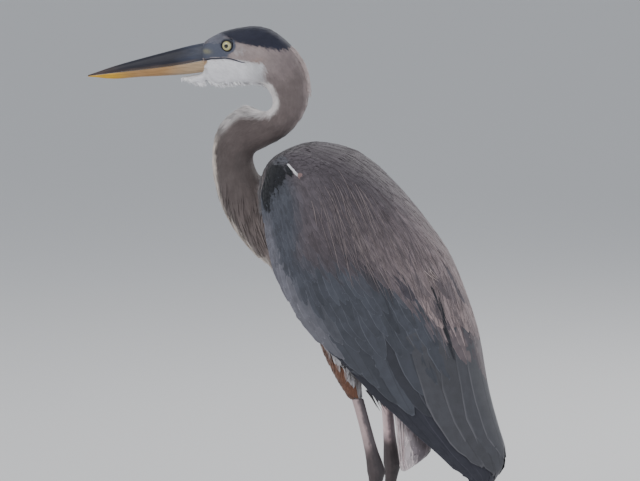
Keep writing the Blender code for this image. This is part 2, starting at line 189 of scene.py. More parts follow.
@dataclass
class Form:
    """The bird's construction lines.

    The fields are in mm and degrees of the bird's own drawing, and the lines worked out from
    them are in metres, in the frame of the packed solids.
    """

    # Where the body's axis starts, and how far it leans down from the level.
    shoulder: tuple[float, float, float] = (-15.0, 0.0, 555.0)
    lean: float = 54.8
    eye: tuple[float, float, float] = (-79.9, 10.7, 698.3)
    # Folded wing: distance along the axis, dorsal line, ventral edge, half width, start angle.
    wing: Knots = (
        (-8.0, 38.0, -4.0, 40.0, 58.0),
        (2.0, 54.0, -18.0, 53.0, 50.0),
        (16.0, 69.0, -31.0, 65.0, 45.0),
        (36.0, 84.0, -42.0, 75.0, 42.0),
        (66.0, 95.0, -56.0, 82.0, 40.0),
        (105.0, 102.0, -73.0, 84.0, 34.0),
        (150.0, 106.0, -81.0, 83.0, 24.0),
        (200.0, 106.0, -78.0, 79.0, 11.0),
        (250.0, 95.5, -66.0, 71.0, 3.0),
        (300.0, 80.0, -59.0, 60.0, 2.0),
        (350.0, 57.0, -50.0, 49.0, 2.0),
        (395.0, 39.5, -39.0, 37.0, 2.0),
        (428.0, 28.5, -33.0, 27.0, 2.0),
        (448.0, 16.0, -32.0, 19.0, 2.0),
        (458.0, -8.0, -30.0, 14.0, 2.0),
    )
    # The angle from the dorsal line at which the wing's lower edge lies.
    wing_end: float = 124.0
    # How far across the wing its feathers reach, by distance along the axis.
    hem: Knots = (
        (0.0, 60.0, 100.0, 141.0, 206.0, 256.0, 329.0, 395.0, 431.0),
        (1.0, 0.985, 0.97, 0.96, 0.985, 1.0, 0.96, 0.97, 1.0),
    )
    # Head and neck: x, z, lean of the section, half depth, half width.
    neck: Knots = (
        (-113.5, 683.0, 90.0, 18.6, 12.4),
        (-92.0, 684.5, 68.0, 37.5, 16.5),
        (-60.5, 686.0, 56.0, 43.2, 19.5),
        (-32.0, 675.0, 37.0, 37.6, 19.5),
        (-13.0, 659.0, 19.0, 29.8, 18.5),
        (-6.0, 630.0, -2.0, 23.6, 18.0),
        (-21.0, 607.0, -40.0, 21.5, 18.5),
        (-49.0, 601.0, -66.0, 30.2, 21.5),
        (-71.0, 587.0, -42.0, 29.5, 23.0),
        (-77.0, 562.0, -10.0, 28.0, 23.5),
        (-68.5, 529.0, 16.0, 30.6, 25.5),
        (-42.0, 492.0, 27.0, 36.6, 33.0),
        (-4.0, 459.0, 24.0, 44.0, 42.0),
    )
    spine_steps: int = 360
    # How many points are compared with the spine at a time.
    batch: int = 4000
    # Where the neck, the outer body and the inner wings start on the unwrap, and their lengths.
    neck_band: tuple[float, float] = (0.02, 0.28)
    body_band: tuple[float, float] = (0.33, 0.44)
    inner_band: tuple[float, float] = (0.80, 0.18)
    # The body's first distance on the unwrap and its length there, in mm.
    body_reach: tuple[float, float] = (-20.0, 480.0)
    shift: Array = field(init=False)

    def __post_init__(self) -> None:
        """Work out the lines from the tables and the packed solids' place."""
        low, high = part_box("eye_right")
        centre = np.array((low + high) / 2.0)
        self.shift = np.array([centre[0] - self.eye[0] * MM, 0.0, centre[2] - self.eye[2] * MM])
        angle = math.radians(self.lean)
        self.root = np.array(self.shoulder) * MM + self.shift
        self.along = np.array([math.cos(angle), 0.0, -math.sin(angle)])
        self.dorsal = np.array([math.sin(angle), 0.0, math.cos(angle)])
        self.wing_rows = np.array(self.wing)
        rows = blend_rows(
            np.array(self.neck), np.linspace(0.0, len(self.neck) - 1.0, self.spine_steps)
        )
        tilt = np.radians(rows[:, 2])
        self.spine = np.stack([rows[:, 0], np.zeros(len(rows)), rows[:, 1]], 1) * MM + self.shift
        self.nape = np.stack([np.cos(tilt), np.zeros(len(rows)), np.sin(tilt)], 1)
        self.ahead = np.stack([self.nape[:, 2], np.zeros(len(rows)), -self.nape[:, 0]], 1)
        self.depth = rows[:, 3] * MM
        self.width = rows[:, 4] * MM

    def at(self, x: float, y: float, z: float) -> Array:
        """A point of the bird's own drawing, in millimetres, as a place in the frame."""
        return np.array([x, y, z]) * MM + self.shift

    def drawn(self, points: Array) -> Array:
        """Places in the frame, in millimetres of the bird's own drawing."""
        return (points - self.shift) / MM

    def body_coords(self, points: Array) -> tuple[Array, Array, Array]:
        """Distances along the body axis, out towards the back, and to the side, in mm."""
        r = points - self.root
        return r @ self.along / MM, r @ self.dorsal / MM, r[..., 1] / MM

    def spine_coords(self, points: Array) -> tuple[Array, Array]:
        """Find points on the head and neck.

        Args:
            points: Rows of positions.

        Returns:
            The index of the nearest section, and the angle round it from the throat side,
            which is negative on the left.
        """
        nearest = np.empty(len(points), int)
        for start in range(0, len(points), self.batch):
            part = points[start : start + self.batch]
            gap = part[:, None, :] - self.spine[None, :, :]
            high = np.einsum("ijk,jk->ij", gap, self.nape) / self.depth
            level = np.einsum("ijk,jk->ij", gap, self.ahead) / (0.3 * self.depth)
            wide = gap[:, :, 1] / self.width
            nearest[start : start + self.batch] = np.argmin(high**2 + wide**2 + level**2, axis=1)
        gap = points - self.spine[nearest]
        high = np.einsum("ij,ij->i", gap, self.nape[nearest]) / self.depth[nearest]
        wide = gap[:, 1] / self.width[nearest]
        return nearest, np.arctan2(wide, -high)

    def section(self, index: Array) -> Array:
        """Numbers of the spine's sections as fractional rows of the neck's table."""
        return index / self.spine_steps * (len(self.neck) - 1)

    def half_depth(self, rows: Array) -> Array:
        """Half the depth of the folded wings' section, from rows of the wing's table."""
        return (rows[..., 1] - rows[..., 2]) / (1.0 - math.cos(math.radians(self.wing_end)))

    def angle(self, t: Array, u: Array) -> Array:
        """Angles in degrees from the dorsal line, at shares u of the way across the wing."""
        start = self.wing_row(t)[..., 4]
        return start + (self.wing_end - start) * u

    def over(self, t: Array, angle: Array, side: float, out: Array | float) -> Array:
        """Places over the body and the folded wings.

        Args:
            t: Distances along the body axis in mm.
            angle: Angles from the dorsal line in degrees.
            side: The sign of Y.
            out: Heights above the surface in mm.

        Returns:
            Positions in metres.
        """
        rows = self.wing_row(t)
        half = self.half_depth(rows)
        wide, high = np.sin(np.radians(angle)), np.cos(np.radians(angle))
        normal = unit(np.stack([high / half, wide / rows[..., 3]], -1))
        o = rows[..., 1] - half + half * high + normal[..., 0] * out
        y = rows[..., 3] * wide + normal[..., 1] * out
        return (
            self.root
            + self.along * (np.asarray(t, float) * MM)[..., None]
            + self.dorsal * (o * MM)[..., None]
            + np.array([0.0, side, 0.0]) * (y * MM)[..., None]
        )

    def wing_row(self, t: Array) -> Array:
        """Read the wing's table.

        Args:
            t: Distances along the body axis in mm.

        Returns:
            One row of the table for each distance.
        """
        knots = self.wing_rows[:, 0]
        t = np.asarray(t, float)
        inside = np.clip(t, knots[0], knots[-1])
        index = np.clip(np.searchsorted(knots, inside, side="right") - 1, 0, len(knots) - 2)
        share = (inside - knots[index]) / (knots[index + 1] - knots[index])
        return blend_rows(self.wing_rows, index + share)

    def place(self, points: Array, normals: Array) -> Array:
        """Where points lie on a flat unwrap of the bird.

        Args:
            points: Rows of positions.
            normals: Their outward normals.

        Returns:
            Rows of (u, v) from 0 to 1: the neck, the outer body and the inner faces of the
            wings have a band each, and round the body runs up the map.
        """
        index, turn = self.spine_coords(points)
        t, o, y = self.body_coords(points)
        near = np.linalg.norm(points - self.spine[index], axis=1) < 60.0 * MM
        on_neck = ((t < 40.0) & near) | (points[:, 2] > self.at(0.0, 0.0, 592.0)[2])
        around = np.arctan2(y, o - 8.0)
        radial = self.dorsal * np.cos(around)[:, None]
        radial[:, 1] += np.sin(around)
        inner = np.einsum("ij,ij->i", radial, normals) < -0.2
        share = (t - self.body_reach[0]) / self.body_reach[1]
        bands = (start + length * share for start, length in (self.inner_band, self.body_band))
        u = np.where(inner, *bands)
        u = np.where(on_neck, self.neck_band[0] + self.neck_band[1] * index / self.spine_steps, u)
        v = np.where(on_neck, turn, around) / math.tau + 0.5
        return np.stack([np.clip(u, 0.005, 0.995), 0.02 + 0.96 * v], 1)


@dataclass(frozen=True)
class Palette:
    """The bird's colours, as linear RGB; the neck's bend and middle tones and the leg's dark tone hold
    painted shade.
    """

    cap: Colour = (0.020, 0.022, 0.041)
    forehead: Colour = (0.140, 0.143, 0.178)
    lore: Colour = (0.088, 0.098, 0.138)
    lore_gold: Colour = (0.255, 0.246, 0.162)
    cheek: Colour = (0.330, 0.270, 0.262)
    throat: Colour = (0.860, 0.850, 0.880)
    nape: Colour = (0.222, 0.180, 0.180)
    neck_upper: Colour = (0.170, 0.136, 0.133)
    # The neck's tone darkened by painted shade, over its bend and its middle.
    neck_bend: Colour = (0.115, 0.090, 0.087)
    neck_middle: Colour = (0.100, 0.080, 0.077)
    neck_lower: Colour = (0.183, 0.148, 0.141)
    neck_pale: Colour = (0.720, 0.680, 0.670)
    streak: Colour = (0.035, 0.031, 0.038)
    mantle: Colour = (0.092, 0.078, 0.090)
    mantle_pale: Colour = (0.259, 0.203, 0.203)
    covert: Colour = (0.063, 0.068, 0.086)
    greater: Colour = (0.062, 0.067, 0.083)
    secondary: Colour = (0.040, 0.042, 0.053)
    tertial: Colour = (0.073, 0.074, 0.085)
    primary: Colour = (0.033, 0.034, 0.047)
    shoulder: Colour = (0.006, 0.007, 0.011)
    rufous: Colour = (0.154, 0.069, 0.042)
    belly: Colour = (0.600, 0.580, 0.600)
    wisp: Colour = (0.050, 0.046, 0.052)
    tail: Colour = (0.191, 0.162, 0.180)
    undertail: Colour = (0.602, 0.533, 0.550)
    leg_front: Colour = (0.520, 0.390, 0.390)
    jaw: Colour = (0.440, 0.290, 0.170)
    ear: Colour = (0.330, 0.225, 0.190)
    oval: Colour = (0.095, 0.096, 0.114)
    lining: Colour = (0.170, 0.165, 0.185)
    # Painted shade of the leg's rear side; darkened further, it is the lower leg's own dark tone.
    leg_back: Colour = (0.110, 0.090, 0.098)


TONES = {name: np.array(value) for name, value in vars(Palette()).items()}


@dataclass
class Sheaf:
    """Closed vanes gathered into one mesh; hold is how closely its light follows the coat's."""

    points: list[Array] = field(default_factory=list)
    quads: list[Array] = field(default_factory=list)
    vane: list[Array] = field(default_factory=list)
    bake: list[Array] = field(default_factory=list)
    tint: list[Array] = field(default_factory=list)
    shade: list[Array] = field(default_factory=list)
    hold: float = 0.5
    count: int = 0

    def add(
        self,
        grid: Array,
        thick: float,
        tint: Array,
        place: Array,
        shares: Array,
        ground: Array | None = None,
    ) -> None:
        """Add one vane.

        Args:
            grid: Places of its middle surface, stations along it by columns across it.
            thick: Its thickness in metres.
            tint: Its colour at each station and column, or one for all.
            place: Its root's place on the bird's unwrap.
            shares: The share of the way along of each station.
            ground: The normals under each station; the coat's light follows them.
        """
        rows, columns = grid.shape[:2]
        across = np.gradient(grid, axis=1)
        along = np.gradient(grid, axis=0)
        normal = unit(np.cross(across, along))
        top, bottom = grid + normal * thick / 2.0, grid - normal * thick / 2.0
        index = np.arange(rows * columns).reshape(rows, columns)
        under = index + rows * columns
        face = np.stack([index[:-1, :-1], index[:-1, 1:], index[1:, 1:], index[1:, :-1]], -1)
        back = np.stack([under[:-1, :-1], under[1:, :-1], under[1:, 1:], under[:-1, 1:]], -1)
        # The rim runs round the vane's outline and joins its two faces.
        edge = np.concatenate([index[0, :], index[1:, -1], index[-1, -2::-1], index[-2:0:-1, 0]])
        after = np.roll(edge, -1)
        rim = np.stack([edge, edge + rows * columns, after + rows * columns, after], -1)
        quads = np.concatenate([face.reshape(-1, 4), back.reshape(-1, 4), rim])
        if ground is None:
            lit = normal
        else:
            turned = np.sign(np.sum(normal * ground[:, None], axis=-1, keepdims=True))
            lit = unit(normal * (1.0 - self.hold) + ground[:, None] * turned * self.hold)
        lit = lit.reshape(-1, 3)
        above = np.repeat(edge[:, None], 4, 1)
        above[:, 2:] = after[:, None]
        side = unit(np.cross(grid.reshape(-1, 3)[after] - grid.reshape(-1, 3)[edge], lit[edge]))
        self.shade.append(
            np.concatenate(
                [
                    lit[face.reshape(-1, 4)],
                    -lit[back.reshape(-1, 4) - rows * columns],
                    unit(0.75 * lit[above] + 0.25 * side[:, None]),
                ]
            )
        )
        x = np.broadcast_to(np.linspace(0.0, 1.0, columns), (rows, columns))
        y = np.broadcast_to(shares[:, None], (rows, columns))
        uv = np.tile(np.stack([x, y], -1).reshape(-1, 2), (2, 1))
        self.points.append(np.concatenate([top.reshape(-1, 3), bottom.reshape(-1, 3)]))
        self.quads.append(quads + self.count)
        self.vane.append(uv)
        self.bake.append(place + (uv - 0.5) * PATCH)
        colour = np.broadcast_to(tint, (rows, columns, 3)).reshape(-1, 3)
        self.tint.append(np.tile(colour, (2, 1)))
        self.count += 2 * rows * columns

    def build(self, name: str, material: Material) -> Object:
        """Make the object.

        Args:
            name: Its name.
            material: Its material.

        Returns:
            The new object.
        """
        quads = np.concatenate(self.quads)
        mesh = mesh_of(name, np.concatenate(self.points), quads)
        corners = quads.ravel()
        for label, values in (("Vane", self.vane), ("OFBake", self.bake)):
            layer = mesh.uv_layers.new(name=label)
            layer.data.foreach_set("uv", np.concatenate(values)[corners].astype(np.float32).ravel())
        paint(mesh, "tint", np.concatenate(self.tint))
        mesh.normals_split_custom_set(np.concatenate(self.shade).reshape(-1, 3).tolist())
        return placed(name, mesh, material)


def mesh_of(name: str, points: Array, faces: Array) -> Mesh:
    """A smooth-shaded mesh from rows of points and rows of equally sided faces.

    Args:
        name: Its name.
        points: Vertex positions.
        faces: Vertex numbers of each face.

    Returns:
        The new mesh.
    """
    mesh = bpy.data.meshes.new(name)
    sides = faces.shape[1]
    mesh.vertices.add(len(points))
    mesh.vertices.foreach_set("co", points.astype(np.float32).ravel())
    mesh.loops.add(faces.size)
    mesh.loops.foreach_set("vertex_index", faces.astype(np.int32).ravel())
    mesh.polygons.add(len(faces))
    mesh.polygons.foreach_set("loop_start", np.arange(0, faces.size, sides, dtype=np.int32))
    mesh.update(calc_edges=True)
    mesh.shade_smooth()
    return mesh


def paint(mesh: Mesh, name: str, colours: Array) -> None:
    """Store a colour for each vertex of a mesh.

    Args:
        mesh: The mesh.
        name: The attribute's name.
        colours: Rows of linear RGB.
    """
    layer = mesh.attributes.new(name, "FLOAT_COLOR", "POINT")
    rows = np.ones((len(mesh.vertices), 4), np.float32)
    rows[:, :3] = np.clip(colours, 0.0, 1.0)
    layer.data.foreach_set("color", rows.ravel())


def store(mesh: Mesh, name: str, values: Array) -> None:
    """Store a number or a vector for each vertex of a mesh.

    Args:
        mesh: The mesh.
        name: The attribute's name.
        values: One number or one row for each vertex.
    """
    kind, slot = ("FLOAT", "value") if values.ndim == 1 else ("FLOAT_VECTOR", "vector")
    layer = mesh.attributes.new(name, kind, "POINT")
    layer.data.foreach_set(slot, values.astype(np.float32).ravel())


def placed(name: str, mesh: Mesh, material: Material | None) -> Object:
    """Put a mesh in the scene.

    Args:
        name: The object's name.
        mesh: Its mesh.
        material: Its material, or None.

    Returns:
        The new object.
    """
    thing = bpy.data.objects.new(name, mesh)
    bpy.context.scene.collection.objects.link(thing)
    if material is not None:
        mesh.materials.clear()
        mesh.materials.append(material)
    return thing


def read(items: Sequence, name: str, size: int = 1, kind: type = np.int32) -> Array:
    """Read one property of a mesh's vertices, edges, corners or faces.

    Args:
        items: What to read from.
        name: The property.
        size: How many numbers each item has.
        kind: Their type.

    Returns:
        One row for each item, or one number where size is 1.
    """
    flat = np.empty(len(items) * size, kind)
    items.foreach_get(name, flat)
    return flat.reshape(-1, size) if size > 1 else flat


def vertices(mesh: Mesh) -> Array:
    """The vertex positions of a mesh."""
    return read(mesh.vertices, "co", 3, np.float32).astype(float)


def vertex_normals(mesh: Mesh) -> Array:
    """The vertex normals of a mesh."""
    return read(mesh.vertex_normals, "vector", 3, np.float32).astype(float)


def relaxed(mesh: Mesh, rounds: int, strength: Array | float) -> Array:
    """Vertex positions drawn towards their neighbours.

    Args:
        mesh: The mesh.
        rounds: How many times.
        strength: The share of the way, one for all or one for each vertex.

    Returns:
        The new positions.
    """
    a, b = read(mesh.edges, "vertices", 2).T
    points = vertices(mesh)
    count = np.bincount(np.concatenate([a, b]), minlength=len(points))[:, None]
    share = np.broadcast_to(np.asarray(strength, float), (len(points),))[:, None]
    for _ in range(rounds):
        total = np.stack(
            [
                np.bincount(a, points[b, k], len(points)) + np.bincount(b, points[a, k], len(points))
                for k in range(3)
            ],
            1,
        )
        points = points + (total / np.maximum(count, 1) - points) * share
    return points


def move_to(mesh: Mesh, points: Array) -> None:
    """Give a mesh new vertex positions."""
    mesh.vertices.foreach_set("co", points.astype(np.float32).ravel())
    mesh.update()


def sealed(mesh: Mesh, merge: float = 0.0) -> Mesh:
    """Close a mesh's open ends, turn its faces outwards and shade it smooth.

    Args:
        mesh: The mesh, which is changed.
        merge: Points nearer to each other than this, in metres, are made one first.

    Returns:
        The same mesh.
    """
    work = bmesh.new()
    work.from_mesh(mesh)
    if merge:
        bmesh.ops.remove_doubles(work, verts=work.verts, dist=merge)
    bmesh.ops.holes_fill(work, edges=work.edges, sides=0)
    bmesh.ops.recalc_face_normals(work, faces=work.faces)
    work.to_mesh(mesh)
    work.free()
    mesh.shade_smooth()
    return mesh


def tube_quads(rings: int, sides: int) -> Array:
    """The faces of a tube.

    Args:
        rings: How many rings of vertices it has.
        sides: How many vertices each ring has.

    Returns:
        The vertex numbers of each quad.
    """
    index = np.arange(rings * sides).reshape(rings, sides)
    after = np.roll(index, -1, axis=1)
    return np.stack([index[:-1], after[:-1], after[1:], index[1:]], -1).reshape(-1, 4)


def ribbon(line: Array, across: Array, half: Array) -> Array:
    """The middle surface of a narrow feather, three columns wide.

    Args:
        line: Its stations in metres.
        across: The direction across it.
        half: Its half width at each station in mm.

    Returns:
        Places, stations by columns.
    """
    columns = np.array([-1.0, 0.0, 1.0])
    return line[:, None] + across * (columns[None, :] * half[:, None] * MM)[..., None]


def merged_copy(frame: dict, names: Sequence[str]) -> Mesh:
    """One mesh that holds copies of some packed solids.

    Args:
        names: The solids' nodes.

    Returns:
        The new mesh.
    """
    made = bmesh.new()
    for name in names:
        made.from_mesh(frame["nodes"][name].data)
    bmesh.ops.remove_doubles(made, verts=made.verts, dist=0.01 * MM)
    mesh = bpy.data.meshes.new("copies")
    made.to_mesh(mesh)
    made.free()
    return mesh


def evaluated(thing: Object) -> Mesh:
    """Apply an object's modifiers, and remove them.

    Args:
        thing: The object.

    Returns:
        The mesh that they make.
    """
    bpy.context.view_layer.update()
    graph = bpy.context.evaluated_depsgraph_get()
    mesh = bpy.data.meshes.new_from_object(thing.evaluated_get(graph))
    thing.modifiers.clear()
    return mesh


def fused(frame: dict, names: Sequence[str], voxel: float) -> Mesh:
    """One closed mesh round some packed solids, with the gaps between them closed.

    Args:
        names: The solids' nodes.
        voxel: The mesh's fineness in metres.

    Returns:
        The new mesh.
    """
    holder = placed("fusing", merged_copy(frame, names), None)
    remesh = holder.modifiers.new("fuse", "REMESH")
    remesh.mode = "VOXEL"
    remesh.voxel_size = voxel
    mesh = evaluated(holder)
    bpy.data.objects.remove(holder)
    mesh.shade_smooth()
    return mesh


def nodes_like(frame: dict, *starts: str) -> list[str]:
    """The packed solids whose names start with one of these words."""
    return sorted(name for name in frame["nodes"] if name.startswith(starts))


REGIONS = {
    Group.HEAD: ("head", "chin"),
    Group.NECK: ("neck_",),
    Group.TRUNK: ("trunk",),
    Group.WING: ("wing_left_coverts", "wing_right_coverts"),
    Group.FLIGHT: ("wing_left_flight", "wing_right_flight"),
    Group.THIGH: ("thigh_",),
    Group.TAIL: ("tail",),
}


class Shader:
    """Builds a procedural material node by node."""

    def __init__(self, name: str, rough: float = 0.6, specular: float = 0.3) -> None:
        """Start a material.

        Args:
            name: Its name.
            rough: The roughness of its surface.
            specular: The level of its reflections.
        """
        self.material = bpy.data.materials.new(name)
        self.material.use_nodes = True
        self.tree = self.material.node_tree
        self.surface = self.tree.nodes["Principled BSDF"]
        self.surface.inputs["Roughness"].default_value = rough
        self.surface.inputs["Specular IOR Level"].default_value = specular

    def node(self, kind: str, **settings: object) -> bpy.types.Node:
        """Add a node.

        Args:
            kind: Its type.
            settings: Its properties, and the values of its sockets by name with _ for space.

        Returns:
            The node.
        """
        made = self.tree.nodes.new(kind)
        for key, value in settings.items():
            label = key.replace("_", " ")
            socket = made.inputs.get(label)
            if hasattr(made, key) and key not in ("inputs", "outputs"):
                setattr(made, key, value)
            elif socket is not None:
                self.feed(value, socket)
        return made

    def feed(self, value: object, socket: Socket) -> None:
        """Link an output to a socket, or set its value.

        Args:
            value: The output or the value.
            socket: What takes it.
        """
        if isinstance(value, Socket):
            self.tree.links.new(value, socket)
        else:
            socket.default_value = value

    def calc(self, operation: str, *values: object) -> Socket:
        """One step of arithmetic.

        Args:
            operation: The Math node's operation.
            values: Its operands.

        Returns:
            The result.
        """
        made = self.tree.nodes.new("ShaderNodeMath")
        made.operation = operation
        for value, socket in zip(values, made.inputs):
            self.feed(value, socket)
        return made.outputs[0]

    def ramp(self, value: object, low: float, high: float, start: float = 0.0, end: float = 1.0) -> Socket:
        """A smooth step of a value.

        Args:
            value: What to ease.
            low: Where the step starts.
            high: Where it ends.
            start: The result below it.
            end: The result above it.

        Returns:
            The result's socket.
        """
        made = self.tree.nodes.new("ShaderNodeMapRange")
        made.interpolation_type = "SMOOTHSTEP"
        for number, socket in zip((value, low, high, start, end), made.inputs):
            self.feed(number, socket)
        return made.outputs[0]

    def blend(self, first: object, second: object, share: object, kind: str = "MIX") -> Socket:
        """Two colours mixed.

        Args:
            first: The colour at share 0.
            second: The colour at share 1.
            share: How much of the second.
            kind: The way of blending.

        Returns:
            The result's socket.
        """
        made = self.tree.nodes.new("ShaderNodeMix")
        made.data_type = "RGBA"
        made.blend_type = kind
        self.feed(share, made.inputs[0])
        for value, socket in ((first, made.inputs[6]), (second, made.inputs[7])):
            self.feed((*value, 1.0) if isinstance(value, (tuple, np.ndarray)) else value, socket)
        return made.outputs[2]

    def tint(self) -> Socket:
        """The colour that the mesh's attribute named tint holds."""
        return self.node("ShaderNodeAttribute", attribute_name="tint").outputs["Color"]

    def shaded(self, colour: object, shade: Socket) -> Socket:
        """A colour made lighter or darker by a number."""
        grey = self.node("ShaderNodeCombineXYZ", X=shade, Y=shade, Z=shade).outputs[0]
        return self.blend(colour, grey, 1.0, "MULTIPLY")

    def relief(self, height: object, strength: float, distance: float) -> None:
        """Bump the surface by a height."""
        bump = self.node("ShaderNodeBump", Strength=strength, Distance=distance, Height=height)
        self.feed(bump.outputs["Normal"], self.surface.inputs["Normal"])

    def set(self, **values: object) -> None:
        """Set the surface's sockets by name with _ for space."""
        for key, value in values.items():
            self.feed(value, self.surface.inputs[key.replace("_", " ")])

    def position(self) -> Socket:
        """The object's own coordinates."""
        return self.node("ShaderNodeTexCoord").outputs["Object"]

    def noise(self, scale: float, detail: float = 3.0, vector: object = None) -> Socket:
        """Noise from 0 to 1.

        Args:
            scale: Its scale.
            detail: Its detail.
            vector: Where to read it, or None for the object's coordinates.

        Returns:
            The value's socket.
        """
        made = self.node("ShaderNodeTexNoise", Scale=scale, Detail=detail)
        self.feed(self.position() if vector is None else vector, made.inputs["Vector"])
        return made.outputs["Fac"]


@dataclass(frozen=True)
class VaneFinish:
    """How a feather's vane looks.

    barbs is how many barbs lie along it and slant how far they run towards its tip; fringe,
    shaft and mottle are the strengths of its pale edge, its dark shaft and its blotches.
    """

    name: str
    barbs: float = 60.0
    slant: float = 7.0
    fringe: float = 0.0
    shaft: float = 0.0
    mottle: float = 0.10
    rough: float = 0.62
    sheen: float = 0.15
    relief: float = 0.25

    def material(self) -> Material:
        """Make the material.

        Returns:
            The material, which takes its colour from the attribute named tint.
        """
        s = Shader(self.name, self.rough, 0.28)
        s.set(Sheen_Weight=self.sheen, Sheen_Roughness=0.5)
        tint = s.tint()
        uv = s.node("ShaderNodeUVMap", uv_map="Vane").outputs[0]
        x, y, _ = s.node("ShaderNodeSeparateXYZ", Vector=uv).outputs
        off = s.calc("MULTIPLY", s.calc("ABSOLUTE", s.calc("SUBTRACT", x, 0.5)), 2.0)
        slanted = s.calc("SUBTRACT", s.calc("MULTIPLY", y, self.barbs), s.calc("MULTIPLY", off, self.slant))
        broken = s.noise(210.0, 2.0)
        phase = s.calc("ADD", slanted, s.calc("MULTIPLY", broken, 2.0))
        barb = s.calc("SINE", s.calc("MULTIPLY", phase, math.tau))
        blotch = s.ramp(s.noise(95.0, 4.0), 0.3, 0.7, 1.0 - self.mottle, 1.0 + self.mottle)
        shade = s.calc("ADD", s.calc("MULTIPLY", barb, self.mottle * 0.35), blotch)
        colour = s.shaded(tint, shade)
        if self.fringe:
            tip = s.ramp(y, 0.97, 0.99, 0.0, 0.5)
            sides = s.calc("MULTIPLY", s.ramp(off, 0.88, 0.98), s.ramp(y, 0.1, 0.5))
            edge = s.calc("MAXIMUM", sides, tip)
            pale = s.blend(tint, (2.6, 2.5, 2.4), 1.0, "MULTIPLY")
            colour = s.blend(colour, pale, s.calc("MULTIPLY", edge, self.fringe))
        if self.shaft:
            line = s.ramp(off, 0.03, 0.075, self.shaft, 0.0)
            dark = s.blend(tint, (0.45, 0.45, 0.46), 1.0, "MULTIPLY")
            colour = s.blend(colour, dark, line)
        s.set(Base_Color=colour)
        ridge = s.ramp(off, 0.0, 0.12, 3.0, 0.0) if self.shaft else 0.0
        s.relief(s.calc("ADD", barb, ridge), self.relief, 0.0002)
        return s.material


@dataclass(frozen=True)
class SkinFinish:
    """How bare skin or skin under the coat looks."""

    name: str
    rough: float = 0.6
    grain: float = 900.0
    relief: float = 0.3

    def material(self) -> Material:
        """Make the material.

        Returns:
            The material, which takes its colour from the attribute named tint.
        """
        s = Shader(self.name, self.rough, 0.35)
        grain = s.noise(self.grain, 4.0)
        s.set(Base_Color=s.shaded(s.tint(), s.ramp(grain, 0.25, 0.75, 0.86, 1.12)))
        s.relief(grain, self.relief, 0.0005)
        return s.material


